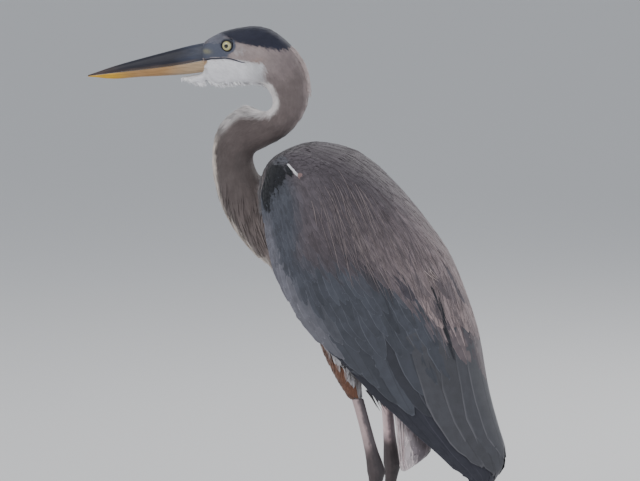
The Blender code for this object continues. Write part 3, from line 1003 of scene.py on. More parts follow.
@dataclass
class Markings:
    """The bird's colours as functions of place.

    On the head, thighs and tail a mark's bounds are x, towards the tail, and z, up, in mm of
    the bird's own drawing. On the neck they are rows of its table and angles from the throat,
    and on the body and wings distances along the axis in mm and shares of the way round.
    """

    form: Form
    # The cap's lower edge and the mouth, as x and z.
    cap_line: Knots = (
        (-118.0, 716.0),
        (-92.0, 712.5),
        (-88.0, 711.5),
        (-70.0, 703.5),
        (-52.0, 700.5),
        (-41.0, 698.6),
        (-30.0, 697.4),
        (-19.0, 696.2),
        (-8.0, 697.4),
        (4.0, 702.0),
    )
    mouth_line: Knots = ((-131.0, 676.4), (-100.0, 682.4), (-82.0, 683.6), (-63.0, 681.0), (-40.0, 679.0))
    # The neck's ground colours, each at a row of the neck's table; over the bend and the middle they are
    # darkened by painted shade.
    neck_tones: tuple[tuple[float, str], ...] = (
        (3.0, "nape"),
        (4.2, "neck_upper"),
        (5.0, "neck_upper"),
        (6.2, "neck_bend"),
        (7.5, "neck_bend"),
        (9.0, "neck_middle"),
        (10.0, "neck_middle"),
        (11.2, "neck_lower"),
        (12.5, "neck_lower"),
    )
    # Where the back's brown ends across the wing, by distance along it.
    brown_line: Knots = (
        (0.0, 30.0, 50.0, 75.0, 102.0, 121.0, 145.0, 163.0, 182.0, 207.0, 233.0, 312.0, 360.0),
        (0.46, 0.52, 0.56, 0.64, 0.73, 0.67, 0.61, 0.56, 0.51, 0.44, 0.38, 0.40, 0.26),
    )
    # The shoulder patch's rear edge, and its upper edge towards the grey oval, by share across.
    patch_rear: Knots = (
        (0.49, 0.51, 0.66, 0.80, 0.87, 0.92, 0.98),
        (17.0, 19.0, 24.0, 25.0, 35.0, 30.0, 16.0),
    )
    patch_top: Knots = ((0.40, 0.45, 0.60, 0.75, 0.90), (6.0, 4.0, 0.0, -5.0, -12.0))

    @staticmethod
    def line(knots: Sequence[tuple[float, float]], x: Array) -> Array:
        """The height of a line at x."""
        xs, zs = zip(*knots)
        return np.interp(x, xs, zs)

    def bare(self, points: Array) -> Array:
        """Find the bare skin before the eye and round it.

        Args:
            points: Rows of positions.

        Returns:
            1 on bare skin and 0 on feathers.
        """
        x, y, z = self.form.drawn(points).T
        ex, _, ez = self.form.eye
        mouth = self.line(self.mouth_line, x)
        ring = smooth(10.3, 9.0, np.hypot((x - ex) * 0.94, z - ez))
        top = 701.5 + 0.05 * (x + 112.0)
        lore = smooth(mouth + 0.2, mouth + 1.4, z) * smooth(top + 0.8, top - 0.8, z)
        lore *= smooth(-76.0, -81.0, x + 0.3 * np.maximum(z - ez, 0.0))
        return np.maximum(ring, lore) * smooth(7.0, 9.0, np.abs(y))

    def jaw(self, points: Array) -> Array:
        """Find the horn that runs back from the bill's lower half into the throat.

        Args:
            points: Rows of positions.

        Returns:
            1 on the horn and 0 elsewhere.
        """
        x, y, z = self.form.drawn(points).T
        mouth = self.line(self.mouth_line, x)
        reach = -113.5 + 8.0 * smooth(668.0, 678.0, z) - x
        level = smooth(mouth + 0.4, mouth - 0.4, z) * smooth(664.5, 667.0, z)
        return smooth(-0.6, 0.6, reach) * level * smooth(4.0, 7.0, np.abs(y))

    def head(self, points: Array) -> Array:
        """Colours of the head.

        Args:
            points: Rows of positions.

        Returns:
            Rows of linear RGB.
        """
        x, _, z = self.form.drawn(points).T
        wave = 1.3 * ripple(points, 0.011, 3.0)
        cap_edge = self.line(self.cap_line, x)
        colour = mixed(TONES["cheek"], TONES["nape"], smooth(-46.0, -10.0, x + 2.0 * wave))
        dusky = smooth(690.0, 697.0, z) * smooth(-74.0, -90.0, x)
        colour = mixed(colour, TONES["forehead"], dusky)
        colour = mixed(colour, TONES["nape"], 0.35 * smooth(0.2, 0.9, ripple(points, 0.016, 1.0)))
        # Painted highlight: a pale, broken patch on the cheek behind and below the eye.
        pale = np.exp(-(((x + 66.0) / 7.0) ** 2 + ((z - 692.0) / 5.0) ** 2) * 1.2)
        pale *= smooth(-0.3, 0.4, ripple(points, 0.006, 7.0))
        colour = mixed(colour, TONES["throat"] * 0.62, 0.7 * pale)
        ear = np.exp(-(((x + 45.0) / 7.0) ** 2 + ((z - 681.0 - 0.2 * (x + 45.0)) / 3.0) ** 2))
        colour = mixed(colour, TONES["ear"], 0.7 * ear)
        mouth = self.line(self.mouth_line, x)
        white = smooth(mouth + 0.6, mouth - 1.2, z + 0.4 * wave) * smooth(-33.0, -41.0, x + 1.5 * wave)
        colour = mixed(colour, TONES["throat"] * (1.0 - 0.3 * smooth(-66.0, -42.0, x))[:, None], white)
        front = smooth(-99.0, -86.0, x + wave)
        colour = mixed(colour, TONES["forehead"], smooth(cap_edge - 1.0, cap_edge + 1.0, z) * (1.0 - front))
        cap = smooth(cap_edge - 1.0, cap_edge + 1.0, z + 0.5 * wave) * front * smooth(16.0, 8.0, x)
        colour = mixed(colour, TONES["cap"], cap)
        return mixed(colour, TONES["jaw"], self.jaw(points))

    def neck(self, points: Array, index: Array, turn: Array) -> Array:
        """Colours of the neck.

        Args:
            points: Rows of positions.
            index: Their nearest sections of the spine.
            turn: Their angles round it.

        Returns:
            Rows of linear RGB.
        """
        s = self.form.section(index)
        knots, names = zip(*self.neck_tones)
        rows = np.array([TONES[name] for name in names])
        colour = np.stack([np.interp(s, knots, rows[:, k]) for k in range(3)], 1)
        side = np.abs(turn) + 0.10 * ripple(points, 0.02, 5.0)
        colour = colour * (1.0 + 0.14 * ripple(points, 0.034, 8.0))[:, None]
        upper = smooth(1.15, 0.8, side) * smooth(6.6, 5.6, s)
        colour = mixed(colour, TONES["neck_pale"], upper)
        bump = smooth(1.15, 0.75, side) * smooth(5.9, 6.5, s) * smooth(8.4, 7.6, s)
        colour = mixed(colour, TONES["neck_pale"] * 0.74, bump)
        lower = smooth(1.0, 0.62, side) * smooth(7.8, 8.6, s) * smooth(12.4, 11.6, s)
        colour = mixed(colour, TONES["neck_pale"] * np.array([0.88, 0.82, 0.74]), lower)
        dash = smooth(-0.1, 0.25, ripple(points, 0.017, 11.0)) * smooth(6.0, 6.6, s)
        inner = smooth(0.30, 0.16, np.abs(side - 0.62)) * dash * smooth(8.8, 8.0, s)
        middle = smooth(0.26, 0.12, side) * smooth(6.0, 6.5, s)
        colour = mixed(colour, TONES["streak"], np.maximum(0.45 * inner, 0.55 * middle * dash))
        # Painted highlight: the rear of the upper neck is painted paler, as if lit from behind.
        rear = smooth(2.3, 2.9, side) * smooth(2.9, 3.4, s) * smooth(6.2, 5.4, s)
        return mixed(colour, TONES["cheek"] * 1.2, 0.75 * rear)

    def trunk(self, points: Array) -> Array:
        """Colours of the breast, belly and back under the wings.

        Args:
            points: Rows of positions.

        Returns:
            Rows of linear RGB.
        """
        t, o, y = self.form.body_coords(points)
        side = np.abs(np.arctan2(y, -(o - 5.0)))
        breast = smooth(0.25, 1.0, side) * smooth(270.0, 190.0, t)
        colour = mixed(TONES["belly"], TONES["neck_lower"], breast)
        front = smooth(40.0, 10.0, t) * smooth(0.7, 1.1, side)
        colour = mixed(colour, TONES["mantle"], np.maximum(smooth(1.5, 2.0, side), front))
        colour = mixed(colour, TONES["greater"], smooth(250.0, 275.0, t) * smooth(1.3, 1.8, side))
        row = np.stack([t * 0.35, 55.0 * side, 0.0 * t], -1) * MM
        dash = smooth(0.05, 0.35, ripple(row, 0.012, 2.0)) * smooth(0.95, 0.7, side)
        dash = dash * smooth(280.0, 220.0, t)
        return mixed(colour, TONES["streak"], 0.8 * dash)

    def thigh(self, points: Array) -> Array:
        """Colours of the thighs: rufous before, white inside the edge, dusky behind.

        Args:
            points: Rows of positions.

        Returns:
            Rows of linear RGB.
        """
        x, y, z = self.form.drawn(points).T
        # The distance behind the slanting front edge, which lies further back on the right.
        back = (x - 27.6 - 12.0 * (y > 0.0)) * 0.82 + (z - 337.0) * 0.57 + 3.0 * ripple(points, 0.02, 4.0)
        colour = mixed(TONES["rufous"], TONES["belly"] * 0.75, smooth(16.5, 19.5, back))
        colour = mixed(colour, TONES["neck_lower"], smooth(28.0, 38.0, back))
        return mixed(colour, TONES["wisp"], smooth(42.0, 52.0, back) * smooth(320.0, 290.0, z))

    def tail(self, points: Array) -> Array:
        """Colours of the tail: grey behind, pale beneath.

        Args:
            points: Rows of positions.

        Returns:
            Rows of linear RGB.
        """
        x, _, z = self.form.drawn(points).T
        middle = 138.0 + (330.0 - z) * 0.07
        return mixed(TONES["undertail"], TONES["tail"], smooth(-9.0, 10.0, x - middle))

    def wing(self, t: Array, u: Array) -> Array:
        """Colours of the wing's feathers.

        Args:
            t: Distances along the body axis in mm.
            u: Shares of the way across the wing.

        Returns:
            Rows of linear RGB.
        """
        colour = mixed(TONES["covert"], TONES["greater"], smooth(90.0, 210.0, t))
        rim = smooth(0.84, 0.93, u) * smooth(30.0, 50.0, t) * smooth(230.0, 190.0, t)
        rim = rim * (1.0 + 0.3 * smooth(80.0, 120.0, t))
        colour = colour * (1.0 + rim[..., None] * np.array([1.1, 0.95, 0.85]))
        border = np.interp(t, *self.brown_line)
        soft = np.interp(t, (190.0, 230.0), (0.10, 0.04))
        brown = smooth(1.0, -1.0, (u - border) / soft)
        dark = smooth(60.0, 130.0, t) * smooth(250.0, 190.0, t) * smooth(0.28, 0.45, u)
        earth = mixed(TONES["mantle"], TONES["mantle_pale"], smooth(60.0, 230.0, t))
        colour = mixed(colour, mixed(earth, TONES["mantle"] * 0.85, dark), brown)
        edge = np.interp(u, *self.patch_rear)
        black = smooth(edge + 1.5, edge - 1.5, t) * smooth(0.465, 0.495, u)
        above = np.interp(u, *self.patch_top)
        colour = mixed(colour, TONES["oval"], smooth(above + 2.0, above - 2.0, t) * smooth(0.30, 0.36, u))
        return mixed(colour, TONES["shoulder"], black * smooth(above - 1.5, above + 1.5, t))


def blurred(mesh: Mesh, values: Array, rounds: int) -> Array:
    """Values of a mesh's vertices, averaged with their neighbours'.

    Args:
        mesh: The mesh.
        values: One row for each vertex.
        rounds: How many times.

    Returns:
        The smoothed values.
    """
    a, b = read(mesh.edges, "vertices", 2).T
    rows = values.reshape(len(values), -1).astype(float)
    count = np.bincount(np.concatenate([a, b]), minlength=len(rows))
    for _ in range(rounds):
        rows = np.stack(
            [
                (np.bincount(a, column[b], len(rows)) + np.bincount(b, column[a], len(rows)) + column)
                / (count + 1.0)
                for column in rows.T
            ],
            1,
        )
    return rows.reshape(values.shape)


@dataclass(eq=False)
class Skin:
    """The one skin of head, neck, body, wings, thighs and tail, and what grows where on it."""

    frame: dict
    form: Form
    # The fineness of the mesh in metres.
    voxel: float
    # How deep the skin lies under the outline in each region, in mm.
    depths: tuple[tuple[Group, float], ...] = (
        (Group.HEAD, 1.1),
        (Group.NECK, 2.4),
        (Group.TRUNK, 6.0),
        (Group.WING, 6.0),
        (Group.FLIGHT, 3.0),
        (Group.THIGH, 4.5),
        (Group.TAIL, 4.0),
    )
    # The shoulder's feathers grow before this distance along the axis and above this height.
    shoulder_end: float = 27.0
    shoulder_floor: float = 470.0
    # The wings' tips part behind this distance, within this many mm of the middle.
    tips_start: float = 385.0
    tips_gap: float = 9.0
    # A loose bit of skin has fewer vertices than this.
    least_island: int = 500

    def __post_init__(self) -> None:
        """Make the outline surface and its fields."""
        frame, form = self.frame, self.form
        self.names = {group: nodes_like(frame, *starts) for group, starts in REGIONS.items()}
        every = [name for names in self.names.values() for name in names]
        self.mesh = fused(frame, every, self.voxel)
        move_to(self.mesh, relaxed(self.mesh, 6, 0.5))
        self.points = vertices(self.mesh)
        self.normals = vertex_normals(self.mesh)
        faces = [tuple(p.vertices) for p in self.mesh.polygons]
        self.outline = BVHTree.FromPolygons(self.points.tolist(), faces)
        self.weights = self.regions()
        self.index, self.turn = form.spine_coords(self.points)
        self.lie = self.lay()
        self.depth = self.sink()
        self.tint = self.colours()
        self.tree = KDTree(len(self.points))
        for number, place in enumerate(self.points):
            self.tree.insert(place, number)
        self.tree.balance()
        t, _, _ = form.body_coords(self.points)
        body = self.weights[Group.WING] + self.weights[Group.TRUNK]
        outer = self.facing() > -0.35
        high = self.points[:, 2] > form.at(0.0, 0.0, self.shoulder_floor)[2]
        self.shoulder = (body > 0.5) & (t < self.shoulder_end) & high & outer

    def facing(self) -> Array:
        """How far each vertex faces away from the middle of the bird, from -1 to 1."""
        return self.normals[:, 1] * np.sign(self.points[:, 1])

    def regions(self) -> dict[Group, Array]:
        """Work out how much each vertex belongs to each region.

        Returns:
            Weights from 0 to 1, softened at the borders.
        """
        corners: list[Vector] = []
        faces: list[tuple[int, ...]] = []
        owner: list[int] = []
        for number, group in enumerate(Group):
            for name in self.names[group]:
                mesh = self.frame["nodes"][name].data
                start = len(corners)
                corners += [v.co.copy() for v in mesh.vertices]
                faces += [tuple(start + i for i in p.vertices) for p in mesh.polygons]
                owner += [number] * len(mesh.polygons)
        tree = BVHTree.FromPolygons(corners, faces)
        near = np.array([owner[tree.find_nearest(Vector(p))[2]] for p in self.points])
        hot = blurred(self.mesh, (near[:, None] == np.arange(len(Group))).astype(float), 3)
        return {group: hot[:, number] for number, group in enumerate(Group)}

    def tone(self, place: Array) -> Array:
        """The coat's colour at the vertex nearest to a place."""
        return self.tint[self.tree.find(place)[1]]

    def lay(self) -> Array:
        """Work out how the feathers lie.

        Returns:
            A direction along the surface for each vertex.
        """
        form = self.form
        front = self.weights[Group.HEAD] + self.weights[Group.NECK]
        front = front * smooth(12.6, 10.5, form.section(self.index))
        outer = smooth(-0.1, 0.3, self.facing())
        hang = ((self.weights[Group.WING] + self.weights[Group.FLIGHT]) * outer)[:, None]
        lie = form.along + hang * np.array([0.0, 0.0, -0.45])
        lie = mixed(lie, form.ahead[self.index], front)
        down = np.array([0.10, 0.0, -1.0])
        lower = self.weights[Group.THIGH] + self.weights[Group.TAIL]
        lie = mixed(lie, down + np.zeros_like(lie), lower)
        lie -= self.normals * np.einsum("ij,ij->i", lie, self.normals)[:, None]
        return unit(lie)

    def sink(self) -> Array:
        """Work out how far the skin lies inside the outline.

        Returns:
            A depth in metres for each vertex; it is less on the face and towards the wing's tip.
        """
        depth = sum(self.weights[group] * mm for group, mm in self.depths)
        x, _, z = self.form.drawn(self.points).T
        face = smooth(-70.0, -100.0, x) * smooth(660.0, 676.0, z) * self.weights[Group.HEAD]
        depth = depth * (1.0 - 0.75 * face)
        t, _, _ = self.form.body_coords(self.points)
        depth *= np.where(self.weights[Group.FLIGHT] > 0.5, smooth(470.0, 300.0, t) * 0.7 + 0.3, 1.0)
        return blurred(self.mesh, depth, 6) * MM

    def colours(self) -> Array:
        """Work out the coat's colours.

        Returns:
            Rows of linear RGB, one for each vertex.
        """
        form, p = self.form, self.points
        marks = Markings(form)
        t, o, y = form.body_coords(p)
        rows = form.wing_row(t)
        half = form.half_depth(rows)
        high = (o - rows[:, 1] + half) / half
        angle = np.degrees(np.arctan2(np.abs(y) / rows[:, 3], high))
        u = np.clip((angle - rows[:, 4]) / (form.wing_end - rows[:, 4]), -0.2, 1.2)
        self.across = u
        neck = marks.neck(p, self.index, self.turn)
        front = mixed(marks.head(p), neck, smooth(2.9, 3.6, form.section(self.index)))
        layers = {
            Group.HEAD: front,
            Group.NECK: front,
            Group.TRUNK: marks.trunk(p),
            Group.WING: marks.wing(t, u),
            Group.FLIGHT: np.broadcast_to(TONES["primary"], p.shape),
            Group.THIGH: marks.thigh(p),
            Group.TAIL: marks.tail(p),
        }
        total = sum(self.weights[group] for group in Group)
        coat = sum(self.weights[g][:, None] * layer for g, layer in layers.items()) / total[:, None]
        inner = smooth(-0.15, -0.45, self.facing())
        inner = inner * (self.weights[Group.WING] + self.weights[Group.FLIGHT])
        clear = (np.abs(p[:, 1]) > 14.0 * MM) * smooth(0.9, 0.8, u) * (t < 330.0)
        return mixed(coat, TONES["lining"], inner * clear)

    def build(self, finish: Material) -> Object:
        """Make the skin.

        Args:
            finish: Its material.

        Returns:
            The object.
        """
        mesh = self.mesh.copy()
        move_to(mesh, self.points - self.normals * self.depth[:, None])
        move_to(mesh, relaxed(mesh, 2, 0.4))
        t, _, _ = self.form.body_coords(self.points)
        thin = self.weights[Group.FLIGHT] * smooth(235.0, 270.0, t)
        move_to(mesh, mixed(vertices(mesh), relaxed(mesh, 24, 0.5), thin))
        self.inner = mesh
        bare = Markings(self.form).bare(self.points) * self.weights[Group.HEAD]
        x, _, z = self.form.drawn(self.points).T
        gold = np.exp(-(((x + 107.0) / 6.5) ** 2) - ((z - 691.5 + 0.12 * (x + 108.0)) / 2.6) ** 2)
        lore = mixed(TONES["lore"] + np.zeros_like(self.points), TONES["lore_gold"], 0.95 * gold)
        lore = mixed(lore, TONES["lore"] * 0.8, smooth(-104.0, -113.0, x) * (1.0 - gold))
        paint(mesh, "tint", mixed(self.tint * 0.95, lore, bare))
        self.bare = bare
        shown = mesh.copy()
        self.part_tips(shown)
        return placed("skin", shown, finish)

    def part_tips(self, mesh: Mesh) -> None:
        """Part the skin between the tips of the wings, and drop what no longer belongs to it.

        Args:
            mesh: The finished skin.
        """
        t, _, _ = self.form.body_coords(vertices(mesh))
        work = bmesh.new()
        work.from_mesh(mesh)
        behind = [face for face in work.faces if t[face.verts[0].index] > self.tips_start]
        web = [face for face in behind if min(abs(v.co.y) for v in face.verts) < self.tips_gap * MM]
        bmesh.ops.delete(work, geom=web, context="FACES")
        seen: set[bmesh.types.BMVert] = set()
        loose: list[bmesh.types.BMVert] = []
        for first in work.verts:
            if first in seen:
                continue
            island, front = {first}, [first]
            while front:
                front = list({e.other_vert(v) for v in front for e in v.link_edges} - island)
                island.update(front)
            seen |= island
            if len(island) < self.least_island:
                loose += island
        bmesh.ops.delete(work, geom=loose, context="VERTS")
        work.to_mesh(mesh)
        work.free()


class NodeTree:
    """Builds a Geometry Nodes tree."""

    def __init__(self, name: str, inputs: Sequence[tuple[str, str]]) -> None:
        """Start the tree.

        Args:
            name: Its name.
            inputs: The name and the kind of each input after the geometry.
        """
        self.tree = bpy.data.node_groups.new(name, "GeometryNodeTree")
        face = self.tree.interface
        for label, kind in (("Geometry", "Geometry"), *inputs):
            face.new_socket(name=label, in_out="INPUT", socket_type="NodeSocket" + kind)
        face.new_socket(name="Geometry", in_out="OUTPUT", socket_type="NodeSocketGeometry")
        self.inputs = self.tree.nodes.new("NodeGroupInput").outputs
        self.output = self.tree.nodes.new("NodeGroupOutput").inputs[0]

    def add(self, kind: str, feeds: dict[int | str, object], **settings: object) -> bpy.types.Node:
        """Add a node.

        Args:
            kind: Its type.
            feeds: Values or outputs for its inputs, by name or number.
            settings: Its properties.

        Returns:
            The node.
        """
        made = self.tree.nodes.new(kind)
        for key, value in settings.items():
            setattr(made, key, value)
        for key, value in feeds.items():
            if isinstance(value, Socket):
                self.tree.links.new(value, made.inputs[key])
            else:
                made.inputs[key].default_value = value
        return made

    def named(self, name: str, kind: str) -> Socket:
        """A named attribute's value."""
        node = self.add("GeometryNodeInputNamedAttribute", {"Name": name}, data_type=kind)
        return node.outputs["Attribute"]

    def vector(self, operation: str, *values: object) -> Socket:
        """One step of vector arithmetic, by operation and operands; SCALE takes a number second."""
        feeds = {0: values[0], 3: values[1]} if operation == "SCALE" else dict(enumerate(values))
        return self.add("ShaderNodeVectorMath", feeds, operation=operation).outputs[0]

    def calc(self, operation: str, *values: object) -> Socket:
        """One step of arithmetic, by operation and operands."""
        return self.add("ShaderNodeMath", dict(enumerate(values)), operation=operation).outputs[0]

    def chance(self, low: float, high: float, seed: Socket) -> Socket:
        """A random number between two bounds for each feather."""
        feeds = {2: low, 3: high, "Seed": seed}
        return self.add("FunctionNodeRandomValue", feeds, data_type="FLOAT").outputs[1]


def coat_tree() -> bpy.types.NodeTree:
    """The tree that grows a coat: the mesh's attributes say where, how long and which way.

    Returns:
        The tree, whose inputs are named for Coat's sizes.
    """
    floats = ("Spacing", "Density", "Jitter", "Lift", "Vary")
    kinds = {**dict.fromkeys(floats, "Float"), "Vane": "Object", "Seed": "Int", "Material": "Material"}
    n = NodeTree("coat", tuple(kinds.items()))
    i = n.inputs
    spread = n.add(
        "GeometryNodeDistributePointsOnFaces",
        {
            "Mesh": i["Geometry"],
            "Distance Min": i["Spacing"],
            "Density Max": i["Density"],
            "Density Factor": n.named("cover", "FLOAT"),
            "Seed": i["Seed"],
        },
        distribute_method="POISSON",
    )
    normal = spread.outputs["Normal"]
    noise_of = n.add(
        "FunctionNodeRandomValue",
        {0: (-1.0, -1.0, -1.0), 1: (1.0, 1.0, 1.0), "Seed": i["Seed"]},
        data_type="FLOAT_VECTOR",
    ).outputs[0]
    size = n.chance(0.78, 1.18, i["Seed"])
    shade = n.chance(-1.0, 1.0, n.calc("ADD", i["Seed"], 7.0))
    lie = n.vector("ADD", n.named("lie", "FLOAT_VECTOR"), n.vector("SCALE", noise_of, i["Jitter"]))
    rise = n.calc("MULTIPLY", n.named("rise", "FLOAT"), i["Lift"])
    lie = n.vector("ADD", lie, n.vector("SCALE", normal, rise))
    light = n.calc("ADD", 1.0, n.calc("MULTIPLY", shade, i["Vary"]))
    tint = n.vector("SCALE", n.named("tint", "FLOAT_COLOR"), light)
    kept = n.add(
        "GeometryNodeStoreNamedAttribute",
        {"Geometry": spread.outputs["Points"], "Name": "tint", "Value": tint},
        data_type="FLOAT_COLOR",
        domain="POINT",
    )
    kept = n.add(
        "GeometryNodeStoreNamedAttribute",
        {"Geometry": kept.outputs[0], "Name": "ground", "Value": normal},
        data_type="FLOAT_VECTOR",
        domain="POINT",
    )
    turn = n.add(
        "FunctionNodeAxesToRotation",
        {"Primary Axis": lie, "Secondary Axis": normal},
        primary_axis="Y",
        secondary_axis="Z",
    )
    wide = n.calc("MULTIPLY", n.named("width", "FLOAT"), size)
    long = n.calc("MULTIPLY", n.named("length", "FLOAT"), size)
    scale = n.add("ShaderNodeCombineXYZ", {0: wide, 1: long, 2: long})
    vane = n.add("GeometryNodeObjectInfo", {"Object": i["Vane"], "As Instance": True})
    planted = n.add(
        "GeometryNodeInstanceOnPoints",
        {
            "Points": kept.outputs[0],
            "Instance": vane.outputs["Geometry"],
            "Rotation": turn.outputs[0],
            "Scale": scale.outputs[0],
        },
    )
    real = n.add("GeometryNodeRealizeInstances", {"Geometry": planted.outputs[0]})
    middle = n.vector("SUBTRACT", n.named("Vane", "FLOAT_VECTOR"), (0.5, 0.5, 0.0))
    spot = n.vector("ADD", n.named("place", "FLOAT_VECTOR"), n.vector("SCALE", middle, PATCH))
    baked = n.add(
        "GeometryNodeStoreNamedAttribute",
        {"Geometry": real.outputs[0], "Name": "OFBake", "Value": spot},
        data_type="FLOAT2",
        domain="CORNER",
    )
    done = n.add("GeometryNodeSetMaterial", {"Geometry": baked.outputs[0], "Material": i["Material"]})
    n.tree.links.new(done.outputs[0], n.output)
    return n.tree


def small_vane(name: str, bow: float, thick: float, tip: float) -> Object:
    """A unit feather for the coat, of triangular section, rooted at the origin along +Y.

    Args:
        name: Its name.
        bow: How far its tip curls back down, as a share of its length.
        thick: The height of its ridge, as a share of its length.
        tip: The half width of its tip.

    Returns:
        The object, which isn't rendered.
    """
    ys = np.array([0.0, 0.5, 1.0])
    halves = np.array([0.20, 0.5, tip])
    rings = []
    for y, half in zip(ys, halves):
        z = -bow * y**2
        high = thick * (1.0 - 0.7 * y)
        rings += [(-half, y, z), (0.0, y, z + high), (half, y, z)]
    points = np.array(rings)
    quads = []
    for ring in range(len(ys) - 1):
        a = ring * 3
        quads += [(a, a + 1, a + 4, a + 3), (a + 1, a + 2, a + 5, a + 4), (a + 2, a, a + 3, a + 5)]
    mesh = bpy.data.meshes.new(name)
    last = 3 * (len(ys) - 1)
    faces = [tuple(reversed(q)) for q in quads] + [(0, 1, 2), (last + 2, last + 1, last)]
    mesh.from_pydata(points.tolist(), [], faces)
    mesh.validate()
    sealed(mesh)
    # The two long edges stay sharp, so that the lit face doesn't darken towards them.
    for edge in mesh.edges:
        a, b = edge.vertices
        edge.use_edge_sharp = a % 3 == b % 3 != 1
    layer = mesh.uv_layers.new(name="Vane")
    corner = read(mesh.loops, "vertex_index")
    uv = np.stack([np.tile([0.0, 0.5, 1.0], len(ys)), np.repeat(ys, 3)], 1)[corner]
    layer.data.foreach_set("uv", uv.astype(np.float32).ravel())
    thing = placed(name, mesh, None)
    thing.hide_render = True
    thing.hide_viewport = True
    return thing


@dataclass
class Coat:
    """One region's coat of small feathers, which are spacing mm apart at the least.

    jitter turns them, lift raises their tips and vary changes their shade, each as a share.
    """

    name: str
    slot: str
    spacing: float
    seed: int
    jitter: float
    lift: float
    vary: float
    density: float

    def build(
        self,
        skin: Skin,
        tree: bpy.types.NodeTree,
        vane: Object,
        fields: dict[str, Array],
        finish: Material,
        coarse: float,
    ) -> Object:
        """Grow the coat.

        Args:
            skin: The skin that it grows on.
            tree: The tree from coat_tree.
            vane: One unit feather.
            fields: cover from 0 to 1, and length and width in mm, for each vertex.
            finish: The feathers' material.
            coarse: How many times further apart the feathers stand; 1 is the finished coat.

        Returns:
            The coat.
        """
        mesh = skin.inner.copy()
        length = fields["length"] * MM
        store(mesh, "cover", fields["cover"])
        store(mesh, "length", length)
        store(mesh, "width", fields["width"] * MM)
        store(mesh, "rise", 0.85 * skin.depth / length)
        store(mesh, "lie", skin.lie)
        place = skin.form.place(skin.points, skin.normals)
        store(mesh, "place", np.concatenate([place, np.zeros((len(place), 1))], 1))
        if "tint" in mesh.attributes:
            mesh.attributes.remove(mesh.attributes["tint"])
        paint(mesh, "tint", skin.tint)
        holder = placed(self.name + "_bed", mesh, None)
        grow = holder.modifiers.new("grow", "NODES")
        grow.node_group = tree
        ids = {item.name: item.identifier for item in tree.interface.items_tree if item.in_out == "INPUT"}
        grow[ids["Vane"]], grow[ids["Material"]] = vane, finish
        grow[ids["Spacing"]] = self.spacing * coarse * MM
        sizes = (self.density, self.seed, self.jitter, self.lift, self.vary)
        for label, value in zip(("Density", "Seed", "Jitter", "Lift", "Vary"), sizes):
            grow[ids[label]] = value
        vane.hide_viewport = False
        grown = evaluated(holder)
        vane.hide_viewport = True
        bpy.data.objects.remove(holder)
        grown.name = self.name
        light_coat(grown, read(grown.attributes["ground"].data, "vector", 3, np.float32))
        for label in ("ground", "cover", "length", "width", "rise", "lie", "place"):
            if label in grown.attributes:
                grown.attributes.remove(grown.attributes[label])
        piece = placed(self.name, grown, finish)
        return piece


def light_coat(mesh: Mesh, ground: Array) -> None:
    """Let the light on a coat follow the skin under it, so that it looks soft.

    Args:
        mesh: The coat.
        ground: The skin's normal under each vertex.
    """
    faces = read(mesh.polygons, "normal", 3, np.float32)
    own = np.repeat(faces, read(mesh.polygons, "loop_total"), axis=0)
    under = ground[read(mesh.loops, "vertex_index")]
    outside = np.einsum("ij,ij->i", own, under) > 0.05
    lit = np.where(outside[:, None], unit(0.78 * under + 0.22 * own), own)
    mesh.normals_split_custom_set(lit.tolist())


def stations(count: int) -> Array:
    """Shares of the way along a feather, closer together near its tip."""
    return np.sin(np.linspace(0.0, math.pi / 2.0, count))


def vane_width(share: Array, root: float, blunt: float, point: float = 0.62) -> Array:
    """The outline of a feather.

    Args:
        share: The share of the way along it.
        root: Its width at the root.
        blunt: Where its tip starts to narrow.
        point: How pointed it is.

    Returns:
        Shares of its greatest width.
    """
    rise = root + (1.0 - root) * smooth(-0.05, 0.42, share)
    end = np.clip((share - blunt) / (1.0 - blunt), 0.0, 1.0)
    return rise * np.maximum(np.maximum(1.0 - end**2, 0.0) ** point, 0.05)


@dataclass(frozen=True)
class Cut:
    """The shape of one feather, in mm and shares.

    Its root lies out above the surface and its tip rise higher, it leans by tilt across its
    width, and it is a share named root of its greatest width at the root. It narrows from the
    share named blunt on, to a tip that point shapes; detail is its stations along and across.
    """

    out: float
    rise: float
    tilt: float
    blunt: float
    root: float
    thick: float
    detail: tuple[int, int]
    point: float = 0.7


@dataclass(frozen=True)
class Row:
    """A row of feathers over the wing or the back.

    The tips run along knots of (distance along the body in mm, share of the way across the
    wing), and length, width and fan are given at the row's first and last feather. Without a
    tone the row takes the wing's markings.
    """

    tips: tuple[tuple[float, float], ...]
    count: int
    length: tuple[float, float]
    width: tuple[float, float]
    fan: tuple[float, float]
    cut: Cut
    tone: str = ""
    vary: float = 0.07
    wander: float = 0.06


def cut_across(cut: Cut, v: Array, width: float) -> tuple[Array, Array]:
    """Spread a feather's columns.

    Args:
        cut: Its shape.
        v: The shares of the way along it.
        width: Its greatest width in mm.

    Returns:
        The columns' shares of the width, from -0.5 to 0.5, and their places across at each
        station in mm.
    """
    x = np.linspace(-0.5, 0.5, cut.detail[1])
    half = width * vane_width(v, cut.root, cut.blunt, cut.point)
    return x, x[None, :] * half[:, None]


def cut_height(cut: Cut, v: Array, x: Array, off: Array, bow: float) -> Array:
    """How high a feather lies.

    Args:
        cut: Its shape.
        v: The shares of the way along it.
        x: Its columns' shares of the width.
        off: Their places across at each station in mm.
        bow: How far its sides bend down in mm.

    Returns:
        Heights over the surface in mm.
    """
    return cut.out + cut.rise * v[:, None] ** 1.4 + cut.tilt * off - bow * (2.0 * x[None, :]) ** 2


